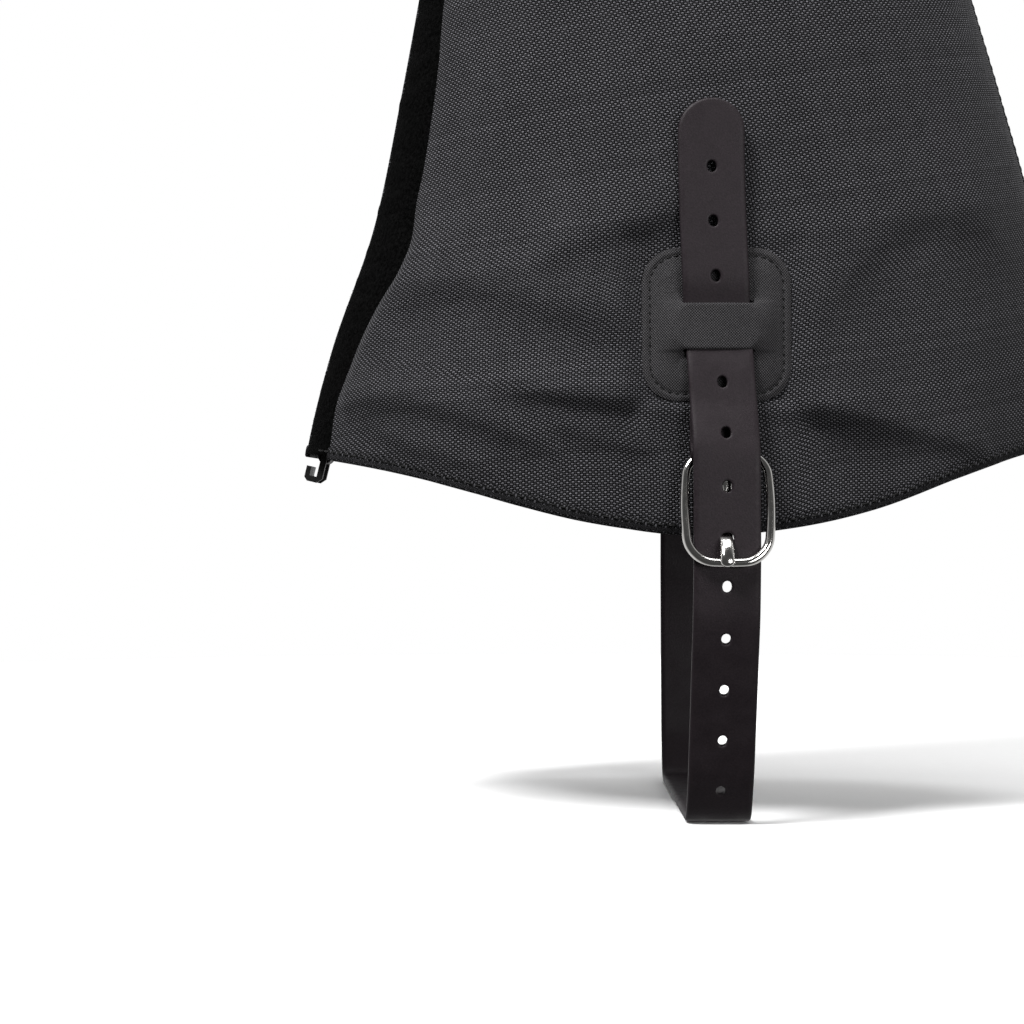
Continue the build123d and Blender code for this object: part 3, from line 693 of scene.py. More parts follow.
# Folded hems: a narrow tube of cloth round the lower edge.
def hem_piece(name, first, last, out, relief, replaces):
    """The folded lower edge between two angles."""
    around = np.linspace(0, math.tau, 15)[:-1]
    zs, angles = side_grid(hem_z, lambda x: hem_z(x, 1), first, last, 2, HEM_COLUMNS)
    angle = angles[0]
    points = []
    for turn in around:
        rise = HEM_WIDE / 2 * (1 + np.sign(math.sin(turn)) * abs(math.sin(turn)) ** 0.6)
        base = on_wall(zs[0], angle, 0)[..., 0]
        depth = 0.85 * np.sign(math.cos(turn)) * abs(math.cos(turn)) ** 0.6
        z = hem_z(base) + rise
        lift = relief(base, z) + out(base, z)
        points.append(on_wall(z, angle, lift - HEM_SUNK + depth))
    grid = np.array(points)
    rows, cols = grid.shape[:2]
    faces = []
    for r in range(rows):
        for c in range(cols - 1):
            faces.append((r * cols + c, r * cols + c + 1, ((r + 1) % rows) * cols + c + 1,
                          ((r + 1) % rows) * cols + c))
    faces.append(tuple(r * cols for r in range(rows)))
    faces.append(tuple(r * cols + cols - 1 for r in reversed(range(rows))))
    uv = np.stack(np.broadcast_arrays(travelled(grid[0])[None, :], (around * 0.9)[:, None]), axis=-1)
    piece = new_mesh(name, grid.reshape(-1, 3), faces, uv.reshape(-1, 2), "hem_cloth")
    fix_normals(piece)
    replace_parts(piece, *replaces)
    return piece


HEM_COLUMNS = 260
HEM_SUNK = 0.35              # the hem's middle, inside the cloth's outer face
hinge_blend(hem_piece("hem_outer", flap_angle, even_angle(-MEET), outer_face, outer_relief,
                      ["hem_lateral", "hem_flap"]))
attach(hem_piece("hem_inner", even_angle(MEET), shin_angle(INNER_FRONT),
                  lambda x, z: np.full(np.shape(x), PANEL_OUT), inner_relief, ["hem_medial"]), "root")


# ---- Stitches --------------------------------------------------------------------------
def stitches(name, path, outward, pitch, long, radius):
    """Short raised thread ends along a path, each a small capsule that dips into the cloth."""
    steps = travelled(path)
    count = int(steps[-1] / pitch)
    verts, faces, uvs = [], [], []
    rings, sides = 6, 6
    for k in range(count):
        middle = (k + 0.5) * pitch
        along = middle + np.linspace(-0.5, 0.5, rings) * long
        spine = np.stack([np.interp(along, steps, path[:, i]) for i in range(3)], axis=1)
        up = np.array([np.interp(middle, steps, outward[:, i]) for i in range(3)])
        up /= np.linalg.norm(up)
        ahead = spine[-1] - spine[0]
        ahead /= max(np.linalg.norm(ahead), 1e-9)
        side = np.cross(ahead, up)
        start = len(verts)
        for r in range(rings):
            t = 2 * r / (rings - 1) - 1
            fat = radius * (0.45 + 0.55 * math.sqrt(max(0.0, 1 - t**4)))
            centre = spine[r] + up * radius * (0.75 - 1.6 * t**4)
            for q in range(sides):
                turn = math.tau * q / sides
                verts.append(centre + fat * (side * math.cos(turn) + up * math.sin(turn)))
                uvs.append((k, q))
        for r in range(rings - 1):
            for q in range(sides):
                a, b = start + r * sides + q, start + r * sides + (q + 1) % sides
                faces.append((a, b, b + sides, a + sides))
        faces.append(tuple(start + q for q in reversed(range(sides))))
        faces.append(tuple(start + (rings - 1) * sides + q for q in range(sides)))
    piece = new_mesh(name, verts, faces, uvs)
    piece.data.materials.append(THREAD)
    return piece


def wall_stitches(name, z, angle, out, pitch=3.1, long=2.3, radius=0.2):
    """A row of stitches on the wall at given heights and angles."""
    path = on_wall(z, angle, out)
    return stitches(name, path, on_wall(z, angle, out + 1.0) - path, pitch, long, radius)


def side_angle(z, x, outer_side_of):
    return angle_at(z, x) if outer_side_of else -angle_at(z, x)


def hem_stitches(name, outer_side_of):
    """The row through the folded hem."""
    x = np.linspace(-106, 103, 400)
    z = hem_z(x) + 2.5
    out = cloth_face(x, z, outer_side_of) + side_relief(x, z, outer_side_of) - HEM_SUNK + 0.80
    return wall_stitches(name, z, side_angle(z, x, outer_side_of), out, 3.0, 2.2, 0.22)


hinge_blend(hem_stitches("hem_stitches_outer", True))
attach(hem_stitches("hem_stitches_inner", False), "root")


def flap_edge_stitches(name, inset):
    """The row that follows the flap's front edge."""
    z = np.linspace(27, 412, 900)
    x = curve(FLAP_EDGE, z) + inset
    out = cloth_face(x, z) + outer_relief(x, z) * smooth(inset / EDGE_CALM)
    return wall_stitches(name, z, angle_at(z, x, FLAP_OUT), out)


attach(flap_edge_stitches("flap_edge_stitches", 3.2), "flap")


# ---- Tapes under the flap, welt and inner trims ----------------------------------------
def fuzz(x, z):
    """Unevenness of the loop pile."""
    rng = random.Random(3)
    total = np.zeros(np.broadcast(x, z).shape)
    for _ in range(14):
        turn, wave = rng.uniform(0, math.tau), rng.uniform(3.5, 11)
        along = (x * math.cos(turn) + z * math.sin(turn)) / wave * math.tau
        total += 0.05 * np.sin(along + rng.uniform(0, 6))
    return total


def past_shin(z, past):
    """The angle of a line on the inner side, reached from the outer side round the shin."""
    return -np.pi - past / oval(z)[2]


TAPE_PAST_SHIN, TAPE_TOP = 2.6, 408.0
zs, angles = side_grid(lambda x: hem_z(x, 1.0), flat_z(TAPE_TOP),
                       lambda z: past_shin(z, TAPE_PAST_SHIN), lambda z: flap_angle(z, 20), 300, 46)
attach(cloth_sheet("loop_tape_pile", "loop_tape", zs, angles, 0.35, 0.65, fuzz, ["loop_tape"], 0), "root")

zs, angles = side_grid(lambda x: hem_z(x, 2.0), flat_z(CLOTH_TOP), lambda z: past_shin(z, 18),
                       lambda z: flap_angle(z, 24), 110, 40)
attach(cloth_sheet("underlap", "upper_cloth", zs, angles, -0.35, 1.1, quiet, ["underlap_band"], 0), "root")

zs, angles = side_grid(lambda x: hem_z(x, 6.0), flat_z(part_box("hook_tape")[1].z / MM),
                       lambda z: flap_angle(z, 3.4), lambda z: flap_angle(z, 20), 160, 16)
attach(cloth_sheet("hook_tape_face", "hook_tape", zs, angles, 2.75, 1.1, quiet, ["hook_tape"], 0), "flap")

WELT_HALF = 4.8
zs, angles = side_grid(lambda x: hem_z(x, 0.5), flat_z(413), lambda z: -WELT_HALF / oval(z)[2],
                       lambda z: WELT_HALF / oval(z)[2], 200, 13)
rounded = 0.5 * np.cos(np.clip(angles * oval(zs)[2] / WELT_HALF, -1, 1) * math.pi / 2) ** 0.5
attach(cloth_sheet("welt", "hem_cloth", zs, angles, 1.75 + rounded, 0.9, quiet, ["back_seam_welt"], 6),
        "root")

for side_name, offset in (("outer", -3.2), ("inner", 3.2)):
    z = np.linspace(27, 411, 700)
    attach(wall_stitches("welt_stitches_" + side_name, z, offset / oval(z)[2], 1.95), "root")


def round_the_back(name, slot, low, high, front_x, out, thick, relief, nodes, rows, columns):
    """A band inside the tube from the outer side round the heel to the inner side."""
    zs, angles = side_grid(flat_z(low), flat_z(high), lambda z: angle_at(z, front_x),
                           lambda z: -angle_at(z, front_x), rows, columns)
    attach(cloth_sheet(name, slot, zs, angles, out, thick, relief, nodes, 0), "root")


def gathers(x, z):
    """Close pleats of the gathered elastic."""
    return 0.25 * np.sin(x * math.tau / 3.1) - 0.1


round_the_back("seam_tape_inside", "seam_tape", 197, 213, -30, -0.4, 0.5, quiet, ["seam_tape"], 12, 160)
round_the_back("elastic_inside", "elastic", 70, 80, -25, -0.6, 1.3, gathers, ["ankle_elastic"], 14, 420)


def seam_stitches(name, level, outer_side_of, first_x):
    """A row through the seam where the upper cloth laps over the lower."""
    x = np.linspace(first_x, 65, 300)
    z = np.full_like(x, level)
    out = cloth_face(x, z, outer_side_of) + side_relief(x, z, outer_side_of)
    return wall_stitches(name, z, side_angle(z, x, outer_side_of), out, 3.0, 2.2)


for line, level in (("low", SEAM - 1.2), ("high", SEAM + 3.8)):
    hinge_blend(seam_stitches("seam_stitches_outer_" + line, level, True, -63))
    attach(seam_stitches("seam_stitches_inner_" + line, level, False, -70), "root")


# ---- Top: cuffs, webbing, cam buckle ---------------------------------------------------
CUFF_LOW = 414.0
CUFF_RISE = 4.5              # the tunnel reaches its full bulge this far from each edge
CUFF_STITCH = 1.8            # stitches, from the edge
WEBBING_LOW, WEBBING_HIGH = 417.5, 436.5


def cuff(name, first, last, lowest, highest, thick, nodes, columns):
    """A sewn tunnel, which bulges between its stitched edges, and its two rows of stitches."""
    zs, angles = side_grid(flat_z(CUFF_LOW), flat_z(TOP), first, last, 26, columns)
    lift = smooth((zs - CUFF_LOW) / CUFF_RISE) * smooth((TOP - zs) / CUFF_RISE)
    made = [cloth_sheet(name, "upper_cloth", zs, angles, lowest + (highest - lowest) * lift, thick, quiet,
                        nodes, 0)]
    out = lowest + (highest - lowest) * smooth(CUFF_STITCH / CUFF_RISE)
    for line, level in (("low", CUFF_LOW + CUFF_STITCH), ("high", TOP - CUFF_STITCH)):
        z = np.full(300, level)
        turn = np.linspace(float(first(z[:1])[0]) + 0.02, float(last(z[:1])[0]) - 0.02, 300)
        made.append(wall_stitches(f"{name}_stitches_{line}", z, turn, out, 3.0, 2.2))
    return made


for piece in cuff("cuff_back", lambda z: angle_at(z, 33.0), shin_angle(INNER_FRONT), 2.1, 4.25, 1.0,
                  ["top_cuff"], 190):
    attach(piece, "root")
for piece in cuff("cuff_flap", lambda z: flap_angle(z, 0.5), lambda z: angle_at(z, -9.0), 4.9, 5.5, 0.8,
                  ["flap_cuff", "top_cuff"], 60):
    hinge_blend(piece)

zs, angles = side_grid(flat_z(WEBBING_LOW), flat_z(WEBBING_HIGH), lambda z: angle_at(z, -12.0),
                       shin_angle(4.4), 14, 260)
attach(cloth_sheet("webbing_round", "webbing", zs, angles, 2.8, 1.2, quiet, ["top_webbing"], 0), "root")
zs, angles = side_grid(flat_z(WEBBING_LOW), flat_z(WEBBING_HIGH), lambda z: angle_at(z, 34.0),
                       lambda z: angle_at(z, 66.0), 14, 60)
end_wave = 0.35 * np.sin(np.linspace(0, 5, zs.shape[1]))[None, :]
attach(cloth_sheet("webbing_end", "webbing", zs, angles, 6.6 + end_wave, 1.2, quiet, ["webbing_tail"], 0),
        "web_tail")

CAM_TILT = math.radians(7.5)
CAM_ORIGIN = np.array([12.0, -63.8, 427.0])
CAM_ACROSS = np.array([math.cos(CAM_TILT), math.sin(CAM_TILT), 0])
CAM_OUT = np.array([math.sin(CAM_TILT), -math.cos(CAM_TILT), 0])


def cam_sheet(name, wide, tall, out, thick, nodes):
    """Flat webbing lying on the cam buckle's plane."""
    a = np.linspace(-wide / 2, wide / 2, 60)[None, :, None]
    b = np.linspace(-tall / 2, tall / 2, 14)[:, None, None]
    level = CAM_ORIGIN + a * CAM_ACROSS + b * np.array([0, 0, 1.0])
    outer = level + CAM_OUT * out
    inner = level + CAM_OUT * (out - thick)
    piece = shell(name, outer, inner, "webbing", lengths(outer))
    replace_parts(piece, *nodes)
    return piece


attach(cam_sheet("webbing_in_buckle", 34, 19, 7.5, 1.2, ["cam_webbing"]), "root")


# ---- Instep strap ----------------------------------------------------------------------
HALF_WIDE, HALF_THICK = 9.0, 1.0
UPPER_HOLES = (0.0, 14.35, 28.6, 57.8, 72.65, 87.5)      # along the strap, from the first above the buckle
HOLE = (1.3, 1.6)            # half width, half height
SLOT = (1.8, 1.7)
HOLE_CELL = 1.8              # the mesh is finer this far above and below a hole
BUCKLE_PLANE = -75.2
SLOT_LEVEL = -0.6            # the hole that the prong is through


def half_width(z):
    return float(oval(z)[2])


STRAP_ROUTE = [
    (half_width(46) + 4.4, 46), (half_width(24) + 4.4, 24), (71, -12), (60, -66), (53, -78.2),
    (-53, -78.2), (-60, -66), (-74, -22), (BUCKLE_PLANE, -4.8), (BUCKLE_PLANE, 19.4),
    (BUCKLE_PLANE, 24), (-half_width(38) - 5.4, 37), (-half_width(45) - 4.7, 45.2),
    (-half_width(52) - 2.7, 51.4), (-half_width(62) - 2.7, 61.6), (-half_width(69) - 4.9, 68),
    (-half_width(80) - 4.7, 80), (-half_width(100) - 4.7, 100), (-half_width(120) - 5.2, 119)]


def rounded_route(points, step=0.4, soften=2.6):
    """A polyline with its corners rounded: y and z at even steps."""
    points = np.array(points, float)
    dist = travelled(points)
    at = np.arange(0, dist[-1], step)
    line = np.stack([np.interp(at, dist, points[:, i]) for i in range(2)], axis=1)
    pad = int(4 * soften / step)
    before = line[0] + (line[0] - line[1]) * np.arange(pad, 0, -1)[:, None]
    after = line[-1] + (line[-1] - line[-2]) * np.arange(1, pad + 1)[:, None]
    long = np.vstack([before, line, after])
    kernel = np.exp(-0.5 * (np.arange(-pad, pad + 1) * step / soften) ** 2)
    kernel /= kernel.sum()
    return np.stack([np.convolve(long[:, i], kernel, mode="valid") for i in range(2)], axis=1)


ROUTE = rounded_route(STRAP_ROUTE)
ROUTE_AT = travelled(ROUTE)
ROUTE_WAY = np.gradient(ROUTE, ROUTE_AT, axis=0)


def strap_at(z):
    """Distance along the route of a height on the outer side."""
    under_sole = np.nonzero(ROUTE[:, 1] < ROUTE[:, 1].min() + 1)[0]
    outer = slice(under_sole[-1], None)
    return float(np.interp(z, ROUTE[outer, 1], ROUTE_AT[outer]))


def strap_point(w, s, h):
    """A point of the strap: across, along its route, and out from its middle."""
    y, z = (np.interp(s, ROUTE_AT, ROUTE[:, i]) for i in range(2))
    ty, tz = (np.interp(s, ROUTE_AT, ROUTE_WAY[:, i]) for i in range(2))
    return (w + float(curve(STRAP_TILT, z)), y - tz * h, z + ty * h)


def strap_height(w, s, tip):
    """Half thickness at a point: full in the middle, rounded off at the outline."""
    inside = HALF_WIDE - abs(w)
    if tip is not None and s > tip - HALF_WIDE:
        inside = HALF_WIDE - math.hypot(w, s - (tip - HALF_WIDE))
    bevel = 0.5
    short = 1 - min(max(inside, 0.0) / bevel, 1.0)
    return HALF_THICK * (1 - 0.5 * short**2)


def strap_piece(name, low, high, holes, tip=False):
    """A stretch of strap with real holes. holes: (place along the route, half width, half height)."""
    across = [-9, -8.86, -8.5, -7.4, -5.2, -3, -1.5, 0, 1.5, 3, 5.2, 7.4, 8.5, 8.86, 9]
    block = range(5, 9)
    body_end = high - HALF_WIDE if tip else high
    marks, cut = [low], {}
    for place, rx, rs in sorted(holes):
        reach = rs + HOLE_CELL
        if place - reach < low or place + reach > body_end:
            continue
        start = marks[-1]
        rows = max(1, int(round((place - reach - start) / 2.0)))
        marks += list(np.linspace(start, place - reach, rows + 1)[1:])
        cut[len(marks) - 1] = (place, rx, rs)
        marks += list(np.linspace(place - reach, place + reach, 5)[1:])
    rows = max(1, int(round((body_end - marks[-1]) / 2.0)))
    marks += list(np.linspace(marks[-1], body_end, rows + 1)[1:])
    spots = [[(w, s) for w in across] for s in marks]
    if tip:
        for v in (0.12, 0.25, 0.38, 0.5, 0.62, 0.74, 0.84, 0.92, 0.965, 0.986, 1.0):
            spots.append([(w * math.sqrt(1 - v * v / 2),
                           body_end + HALF_WIDE * v * math.sqrt(1 - (w / 9) ** 2 / 2)) for w in across])
    columns = len(across)
    tip_at = high if tip else None
    verts, faces, uvs = [], [], []

    def add(w, s, h):
        verts.append(strap_point(w, s, h))
        uvs.append((w, s))
        return len(verts) - 1

    layers = []
    for side in (1, -1):
        layers.append([[add(w, s, side * strap_height(w, s, tip_at)) for w, s in row] for row in spots])
    top, bottom = layers
    blocked = {(r + i, c) for r in cut for i in range(4) for c in block}
    for r in range(len(spots) - 1):
        for c in range(columns - 1):
            if (r, c) in blocked:
                continue
            faces.append((top[r][c], top[r][c + 1], top[r + 1][c + 1], top[r + 1][c]))
            faces.append((bottom[r][c], bottom[r + 1][c], bottom[r + 1][c + 1], bottom[r][c + 1]))
    for r, (place, rx, rs) in cut.items():
        ring_cells = ([(r, c) for c in range(5, 9)] + [(r + i, 9) for i in range(4)]
                      + [(r + 4, c) for c in range(9, 5, -1)] + [(r + i, 5) for i in range(4, 0, -1)])
        reach = rs + HOLE_CELL
        loops = [[top[i][j] for i, j in ring_cells]]
        for grow, h in ((0.75, 1.0), (0.28, 1.0), (0.06, 0.86), (0.0, 0.6), (0.0, -0.6), (0.06, -0.86),
                        (0.28, -1.0), (0.75, -1.0)):
            loop = []
            for i, j in ring_cells:
                w, s = spots[i][j]
                angle = math.atan2((s - place) / reach, w / 3.0)
                loop.append(add((rx + grow) * math.cos(angle), place + (rs + grow) * math.sin(angle),
                                h * HALF_THICK))
            loops.append(loop)
        loops.append([bottom[i][j] for i, j in ring_cells])
        for first, second in zip(loops, loops[1:]):
            for k in range(16):
                n = (k + 1) % 16
                faces.append((first[k], first[n], second[n], second[k]))
    last = len(spots) - 1
    outline = ([(0, c) for c in range(columns)] + [(r, columns - 1) for r in range(1, last + 1)]
               + [(last, c) for c in range(columns - 2, -1, -1)] + [(r, 0) for r in range(last - 1, 0, -1)])
    m = len(outline)
    for k in range(m):
        (r, c), (r2, c2) = outline[k], outline[(k + 1) % m]
        faces.append((top[r2][c2], top[r][c], bottom[r][c], bottom[r2][c2]))
    piece = new_mesh(name, verts, faces, uvs, "strap_rubber")
    fix_normals(piece)
    cut_rows = [0] if tip else [0, last]
    ends = {tuple(sorted((layer[row][c], layer[row][c + 1]))) for layer in layers for row in cut_rows
            for c in range(columns - 1)}
    for edge in piece.data.edges:
        if tuple(sorted(edge.vertices)) in ends:
            edge.use_edge_sharp = True
    return piece


def holes_at(heights):
    return [(strap_at(z), *HOLE) for z in heights]


split_low, split_high = 8.0, 57.0
FIRST_HOLE = strap_at(13.3)
upper_holes = [(FIRST_HOLE + gap, *HOLE) for gap in UPPER_HOLES]
lower = strap_piece("strap_lower", 0.0, strap_at(split_low),
                    holes_at([-13.4 - 14.0 * k for k in range(5)]) + [(strap_at(SLOT_LEVEL), *SLOT)])
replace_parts(lower, "instep_strap", "strap_window")
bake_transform(lower)

middle = strap_piece("strap_middle", strap_at(split_low), strap_at(split_high), upper_holes[:3])
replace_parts(middle, "strap_tail")
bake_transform(middle)

end = strap_piece("strap_end", strap_at(split_high), strap_at(118.4), upper_holes[3:], tip=True)
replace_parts(end, "strap_tip")
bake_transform(end)


# ---- Sewn-on patches -------------------------------------------------------------------
def rounded_spot(a, b, half_a, half_b, corner):
    """Moves a grid point of a rectangle so that the rectangle's corners become round."""
    over_a, over_b = abs(a) - (half_a - corner), abs(b) - (half_b - corner)
    if over_a <= 0 or over_b <= 0:
        return a, b
    u, v = over_a / corner, over_b / corner
    return (math.copysign(half_a - corner + corner * u * math.sqrt(1 - v * v / 2), a),
            math.copysign(half_b - corner + corner * v * math.sqrt(1 - u * u / 2), b))


def edge_distance(a, b, half_a, half_b, corner):
    """How far inside a rounded rectangle's outline a point is."""
    qa, qb = abs(a) - (half_a - corner), abs(b) - (half_b - corner)
    return corner - math.hypot(max(qa, 0), max(qb, 0)) - min(max(qa, qb), 0)


STITCH_INSET = 2.3
SLIT_SHIFT = 0.2            # the slits' middle, from the patch's


def patch_ring(half_a, half_b, corner):
    """Even points round a rectangle with round corners."""
    ring = []
    flat_a, flat_b = half_a - corner, half_b - corner
    for quarter, (way_a, way_b) in enumerate(((1, 1), (-1, 1), (-1, -1), (1, -1))):
        for step in range(19):
            turn = math.radians(90 * quarter + 5 * step)
            ring.append((way_a * flat_a + corner * math.cos(turn), way_b * flat_b + corner * math.sin(turn)))
    ring = np.array(ring + ring[:1])
    even = np.linspace(0, travelled(ring)[-1], 500)
    return (np.interp(even, travelled(ring), ring[:, i]) for i in range(2))


def patch(name, middle_x, middle_z, wide, tall, corner, outer_side_of, slits=None):
    """A padded patch with a stitched border. slits: (lower z, upper z, half length, bridge height)."""
    half_a, half_b = wide / 2, tall / 2
    a_lines = np.linspace(-half_a, half_a, 81)
    b_lines = np.linspace(-half_b, half_b, 85)
    gap_rows = []
    if slits:
        low, high, slit_half, raised = slits
        for level, open_up in ((low - middle_z, 1), (high - middle_z, -1)):
            row = int(np.argmin(np.abs(b_lines - level)))
            b_lines[row] = level
            gap_rows.append(row if open_up > 0 else row - 1)
    spots = [[rounded_spot(a, b, half_a, half_b, corner) for a in a_lines] for b in b_lines]
    sign = 1 if outer_side_of else -1
    verts, uvs, index = [], [], {}
    for r, row in enumerate(spots):
        for c, (a, b) in enumerate(row):
            x, z = middle_x + a, middle_z + b
            inside = edge_distance(a, b, half_a, half_b, corner)
            puff = 0.3 * float(smooth(inside / 1.5)) + 0.5 * float(smooth((inside - 2.4) / 4.5))
            groove = 0.35 * math.exp(-((inside - STITCH_INSET) / 0.45) ** 2)
            out = 2.15 + puff - groove
            if slits:
                beside = float(smooth((slit_half + 8.5 - abs(a)) / 8.5))
                span = 1.0 + 9.0 * float(smooth((abs(a) - slit_half + 1.5) / 4.0))
                between = float(smooth(0.5 + (b - low + middle_z - 0.4) / span)
                                * smooth(0.5 + (high - middle_z - 0.4 - b) / span))
                below = float(smooth((b - (low - middle_z) + 4) / 4) * (b < low - middle_z + 0.4))
                above = float(smooth((high - middle_z + 4 - b) / 4) * (b > high - middle_z - 0.4))
                out += raised * beside * between - 0.35 * beside * max(below, above)
            angle = sign * angle_at(z, x)
            index[r, c] = len(verts)
            verts.append(on_wall(z, angle, out))
            uvs.append((a, b))
    faces = []
    for r in range(len(b_lines) - 1):
        for c in range(len(a_lines) - 1):
            if r in gap_rows and abs((a_lines[c] + a_lines[c + 1]) / 2 - SLIT_SHIFT) < slit_half:
                continue
            quad = (index[r, c], index[r, c + 1], index[r + 1, c + 1], index[r + 1, c])
            faces.append(quad if outer_side_of else quad[::-1])
    piece = new_mesh(name, verts, faces, uvs, "coated_patch")
    thick = piece.modifiers.new("Thickness", "SOLIDIFY")
    thick.thickness = 0.95 * MM
    thick.offset = -1
    soft = piece.modifiers.new("Softened", "SUBSURF")
    soft.levels = soft.render_levels = 1
    bpy.context.view_layer.update()
    shaped = piece.evaluated_get(bpy.context.evaluated_depsgraph_get())
    piece.data = bpy.data.meshes.new_from_object(shaped)
    piece.modifiers.clear()
    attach(piece, "root")

    x, z = patch_ring(half_a - STITCH_INSET, half_b - STITCH_INSET, corner - STITCH_INSET)
    x, z = x + middle_x, z + middle_z
    border_row = wall_stitches(name + "_stitches", z, side_angle(z, x, outer_side_of), 2.2, 2.15, 1.5, 0.17)
    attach(border_row, "root")
    return piece


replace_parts(patch("keeper", *KEEPER, True, (49.5, 63.6, 9.25, 2.0)), "keeper_patch")
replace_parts(patch("anchor", *ANCHOR, False), "medial_patch")


# ---- Buckle ----------------------------------------------------------------------------
BUCKLE_X = 2.6
PRONG_X = BUCKLE_X - 0.55
WIRE = 1.25
HEEL = np.array([-70.9, 22.0])
FRONT = np.array([-78.2, -6.5])


def tube(name, path, radius, sides, closed, slot, flat=1.0, side_axis=(1, 0, 0)):
    """A rod along a path. flat squeezes its section; side_axis is roughly its wide direction."""
    path = np.asarray(path, float)
    count = len(path)
    radius = np.broadcast_to(np.asarray(radius, float), (count,))
    if closed:
        ahead = np.roll(path, -1, axis=0) - np.roll(path, 1, axis=0)
    else:
        ahead = np.gradient(path, axis=0)
    ahead /= np.linalg.norm(ahead, axis=1, keepdims=True)
    verts, faces, uvs = [], [], []
    for k in range(count):
        wide = np.array(side_axis, float) - ahead[k] * float(np.dot(side_axis, ahead[k]))
        wide /= np.linalg.norm(wide)
        up = np.cross(ahead[k], wide)
        for q in range(sides):
            turn = math.tau * q / sides
            cw, sw = math.cos(turn), math.sin(turn)
            if flat != 1.0:
                cw, sw = (math.copysign(abs(v) ** 0.8, v) for v in (cw, sw))
            verts.append(path[k] + radius[k] * (wide * cw + up * sw * flat))
            uvs.append((k, q))
    for k in range(count if closed else count - 1):
        for q in range(sides):
            a, b = k * sides + q, k * sides + (q + 1) % sides
            c, d = ((k + 1) % count) * sides + (q + 1) % sides, ((k + 1) % count) * sides + q
            faces.append((a, b, c, d))
    if not closed:
        faces.append(tuple(reversed(range(sides))))
        faces.append(tuple((count - 1) * sides + q for q in range(sides)))
    piece = new_mesh(name, verts, faces, uvs, slot)
    fix_normals(piece)
    return piece


def buckle_point(w, l):
    """A point in the buckle's plane: across, and along from the heel bar to the front bar."""
    yz = HEEL + (FRONT - HEEL) * l / np.linalg.norm(FRONT - HEEL)
    return np.array([BUCKLE_X + w, yz[0], yz[1]])


long_side = float(np.linalg.norm(FRONT - HEEL))
loop = []
half = 10.4
for corner_r, cw, cl, begin in ((6.2, 1, long_side, 0), (6.2, -1, long_side, 90), (5.5, -1, 0, 180),
                                (5.5, 1, 0, 270)):
    middle_w = cw * (half - corner_r)
    middle_l = long_side - corner_r if cl else corner_r
    loop += [(middle_w + corner_r * math.cos(math.radians(begin + 9 * k)),
              middle_l + corner_r * math.sin(math.radians(begin + 9 * k))) for k in range(11)]
loop = np.array(loop + [loop[0]])
gone = travelled(loop)
even = np.linspace(0, gone[-1], 141)[:-1]
ring_w, ring_l = np.interp(even, gone, loop[:, 0]), np.interp(even, gone, loop[:, 1])
ring_w = ring_w * (1 + 0.105 * np.sin(np.pi * np.clip(ring_l / long_side, 0, 1)))
ring_l = ring_l + 0.5 * (ring_l / long_side) ** 6 * (1 - (ring_w / half) ** 2)
wire = tube("buckle_wire", [buckle_point(w, l) for w, l in zip(ring_w, ring_l)], WIRE, 20, True, "nickel",
            side_axis=tuple(np.cross((1, 0, 0), buckle_point(0, 1) - buckle_point(0, 0))))
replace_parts(wire, "buckle_frame")
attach(wire, "buckle")

eye = [(1.95 * math.cos(math.radians(t)), 1.95 * math.sin(math.radians(t))) for t in range(-70, 181, 12)]
shank = [(-1.7, -5), (-1.2, -10), (-1.1, -16), (-1.5, -20.0), (-3.0, -21.8), (-6.0, -23.0), (-7.9, -25.0),
         (-9.3, -27.6), (-9.6, -30.2)]
prong_line = rounded_route(eye + shank, 0.35, 0.7)
fade = np.arange(len(prong_line))[::-1] * 0.35
thick = 1.9 * np.sqrt(np.clip(1 - (1 - np.clip(fade / 1.4, 0, 1)) ** 2, 0.08, 1))
prong = tube("prong_bar", [(PRONG_X, HEEL[0] + y, HEEL[1] + z) for y, z in prong_line], thick, 16,
             False, "nickel", flat=0.5)
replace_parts(prong, "buckle_prong")
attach(prong, "prong")


# ---- Loose fibres of the pile ----------------------------------------------------------
def fibres(name, count):
    """Short curled fibres that stand out of the loop tape."""
    rng = random.Random(11)
    verts, faces = [], []
    for _ in range(count):
        z = rng.uniform(26, 406)
        first, last = -math.pi - TAPE_PAST_SHIN / half_width(z), float(flap_angle(z, -1.0))
        angle = rng.uniform(first, last)
        root = on_wall(z, angle, 0.2)
        up = on_wall(z, angle, 1.2) - root
        side = np.cross(up, (0, 0, 1.0))
        lean = side * rng.uniform(-1, 1) + np.array([0, 0, 1.0]) * rng.uniform(-1, 1)
        height = rng.uniform(0.15, 0.42)
        thin = np.cross(up, lean)
        thin = thin / max(np.linalg.norm(thin), 1e-6) * 0.05
        at = len(verts)
        for t in (0.0, 0.4, 0.75, 1.0):
            centre = root + up * height * math.sin(t * 2.1) + lean * height * 0.9 * t
            verts += [centre - thin, centre + thin, centre + up * 0.08]
        for k in range(3):
            p = at + 3 * k
            for i in range(3):
                j = (i + 1) % 3
                faces.append((p + i, p + j, p + 3 + j, p + 3 + i))
        faces += [(at + 2, at + 1, at), (at + 9, at + 10, at + 11)]
    return new_mesh(name, verts, faces, np.zeros((len(verts), 2)), "loop_tape")


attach(fibres("pile_fibres", 5000), "root")


# ---- CAD nodes that stay ---------------------------------------------------------------
KEPT = {
    "cam_buckle_body": "cam_plastic", "cam_lever": "cam_plastic", "cam_pin": "nickel",
    "snap_cap": "nickel", "snap_socket": "nickel", "snap_stud": "nickel", "medial_rivets": "nickel",
    "lace_hook": "dark_steel", "buckle_strap": "strap_rubber", "hook_tab": "strap_rubber",
}
for node, slot_name in KEPT.items():
    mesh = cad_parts[node].data
    mesh.materials.clear()
    mesh.materials.append(MATERIALS[slot_name])


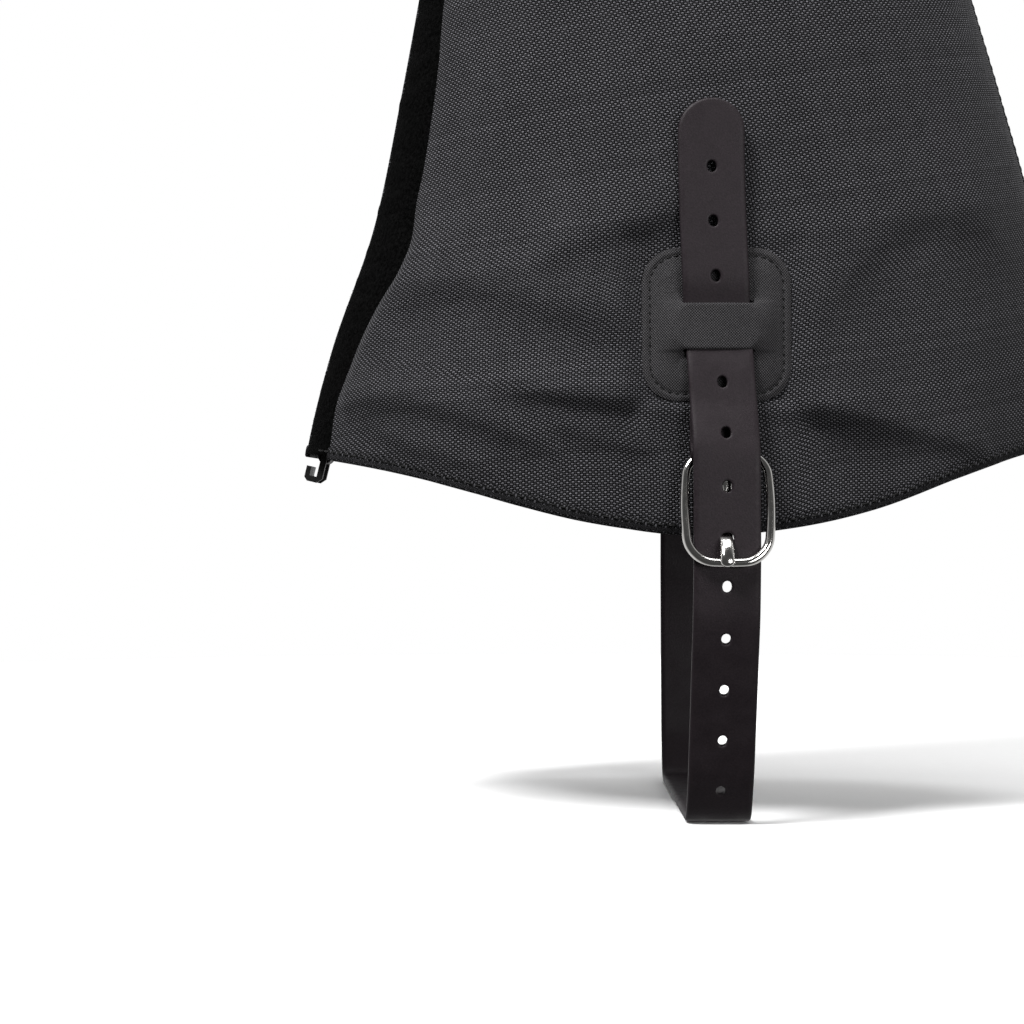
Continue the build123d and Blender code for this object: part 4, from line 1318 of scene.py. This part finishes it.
# ---- Studio ----------------------------------------------------------------------------
WORLD_LIGHT = (0.06, 0.75)     # in front of the object and behind it
FLOOR_RADIUS = 0.75
FLOOR_LEVEL = -0.0795


def lay_floor():
    """A pale disc of paper."""
    floor_mesh = bpy.data.meshes.new("studio_floor")
    corners = [(FLOOR_RADIUS * math.cos(math.tau * k / 96), FLOOR_RADIUS * math.sin(math.tau * k / 96),
                FLOOR_LEVEL) for k in range(96)]
    floor_mesh.from_pydata(corners, [], [tuple(range(96))])
    floor = bpy.data.objects.new("studio_floor", floor_mesh)
    floor.visible_diffuse = floor.visible_glossy = False
    bpy.context.scene.collection.objects.link(floor)
    paper = Nodes("paper", Roughness=0.9, Specular_IOR_Level=0.1)
    grain = paper.noise(4, 2)
    floor_mesh.materials.append(paper.finish(paper.mix(grain, (0.93, 0.93, 0.93, 1), (0.96, 0.96, 0.96, 1))))


def light_world():
    """White to the camera; for the object, dim in front and bright behind."""
    world = bpy.data.worlds.new("studio")
    world.use_nodes = True
    sky = world.node_tree.nodes["Background"]
    sky.inputs[0].default_value = (1, 1, 1, 1)
    build = world.node_tree
    ray = build.nodes.new("ShaderNodeLightPath")
    place = build.nodes.new("ShaderNodeTexCoord")
    split = build.nodes.new("ShaderNodeSeparateXYZ")
    build.links.new(place.outputs["Generated"], split.inputs[0])
    behind = build.nodes.new("ShaderNodeMapRange")
    behind.interpolation_type = "SMOOTHSTEP"
    for socket, number in zip(behind.inputs[1:5], (-0.6, 0.3, *WORLD_LIGHT)):
        socket.default_value = number
    build.links.new(split.outputs[1], behind.inputs[0])
    glow = build.nodes.new("ShaderNodeMapRange")
    glow.inputs[4].default_value = 1.0
    build.links.new(ray.outputs["Is Camera Ray"], glow.inputs[0])
    build.links.new(behind.outputs[0], glow.inputs[3])
    build.links.new(glow.outputs[0], sky.inputs[1])
    bpy.context.scene.world = world


def hang_lights():
    """Three soft square lights: place, size, power."""
    for name, place, size, power in (("key", (-0.85, -0.95, 1.6), 0.55, 56),
                                     ("fill", (0.7, -1.5, 0.15), 0.7, 13),
                                     ("top", (0.1, -0.2, 1.5), 0.9, 16)):
        lamp = bpy.data.lights.new(name, "AREA")
        lamp.shape = "SQUARE"
        lamp.size = size
        lamp.energy = power
        light = bpy.data.objects.new(name, lamp)
        light.location = place
        aim = Vector((0, 0, 0.06)) - Vector(place)
        light.rotation_euler = aim.to_track_quat("-Z", "Y").to_euler()
        bpy.context.scene.collection.objects.link(light)


def place_camera():
    """The photo's view, square on to the outer side."""
    lens = bpy.data.cameras.new("camera")
    lens.lens = 86.35
    lens.sensor_width = 36.0
    camera = bpy.data.objects.new("camera", lens)
    camera.location = (-0.055, -0.730, 0.0065)
    camera.rotation_euler = (math.pi / 2, 0, 0)
    bpy.context.scene.collection.objects.link(camera)
    bpy.context.scene.camera = camera
    bpy.context.scene.view_settings.view_transform = "Standard"


lay_floor()
light_world()
hang_lights()
place_camera()
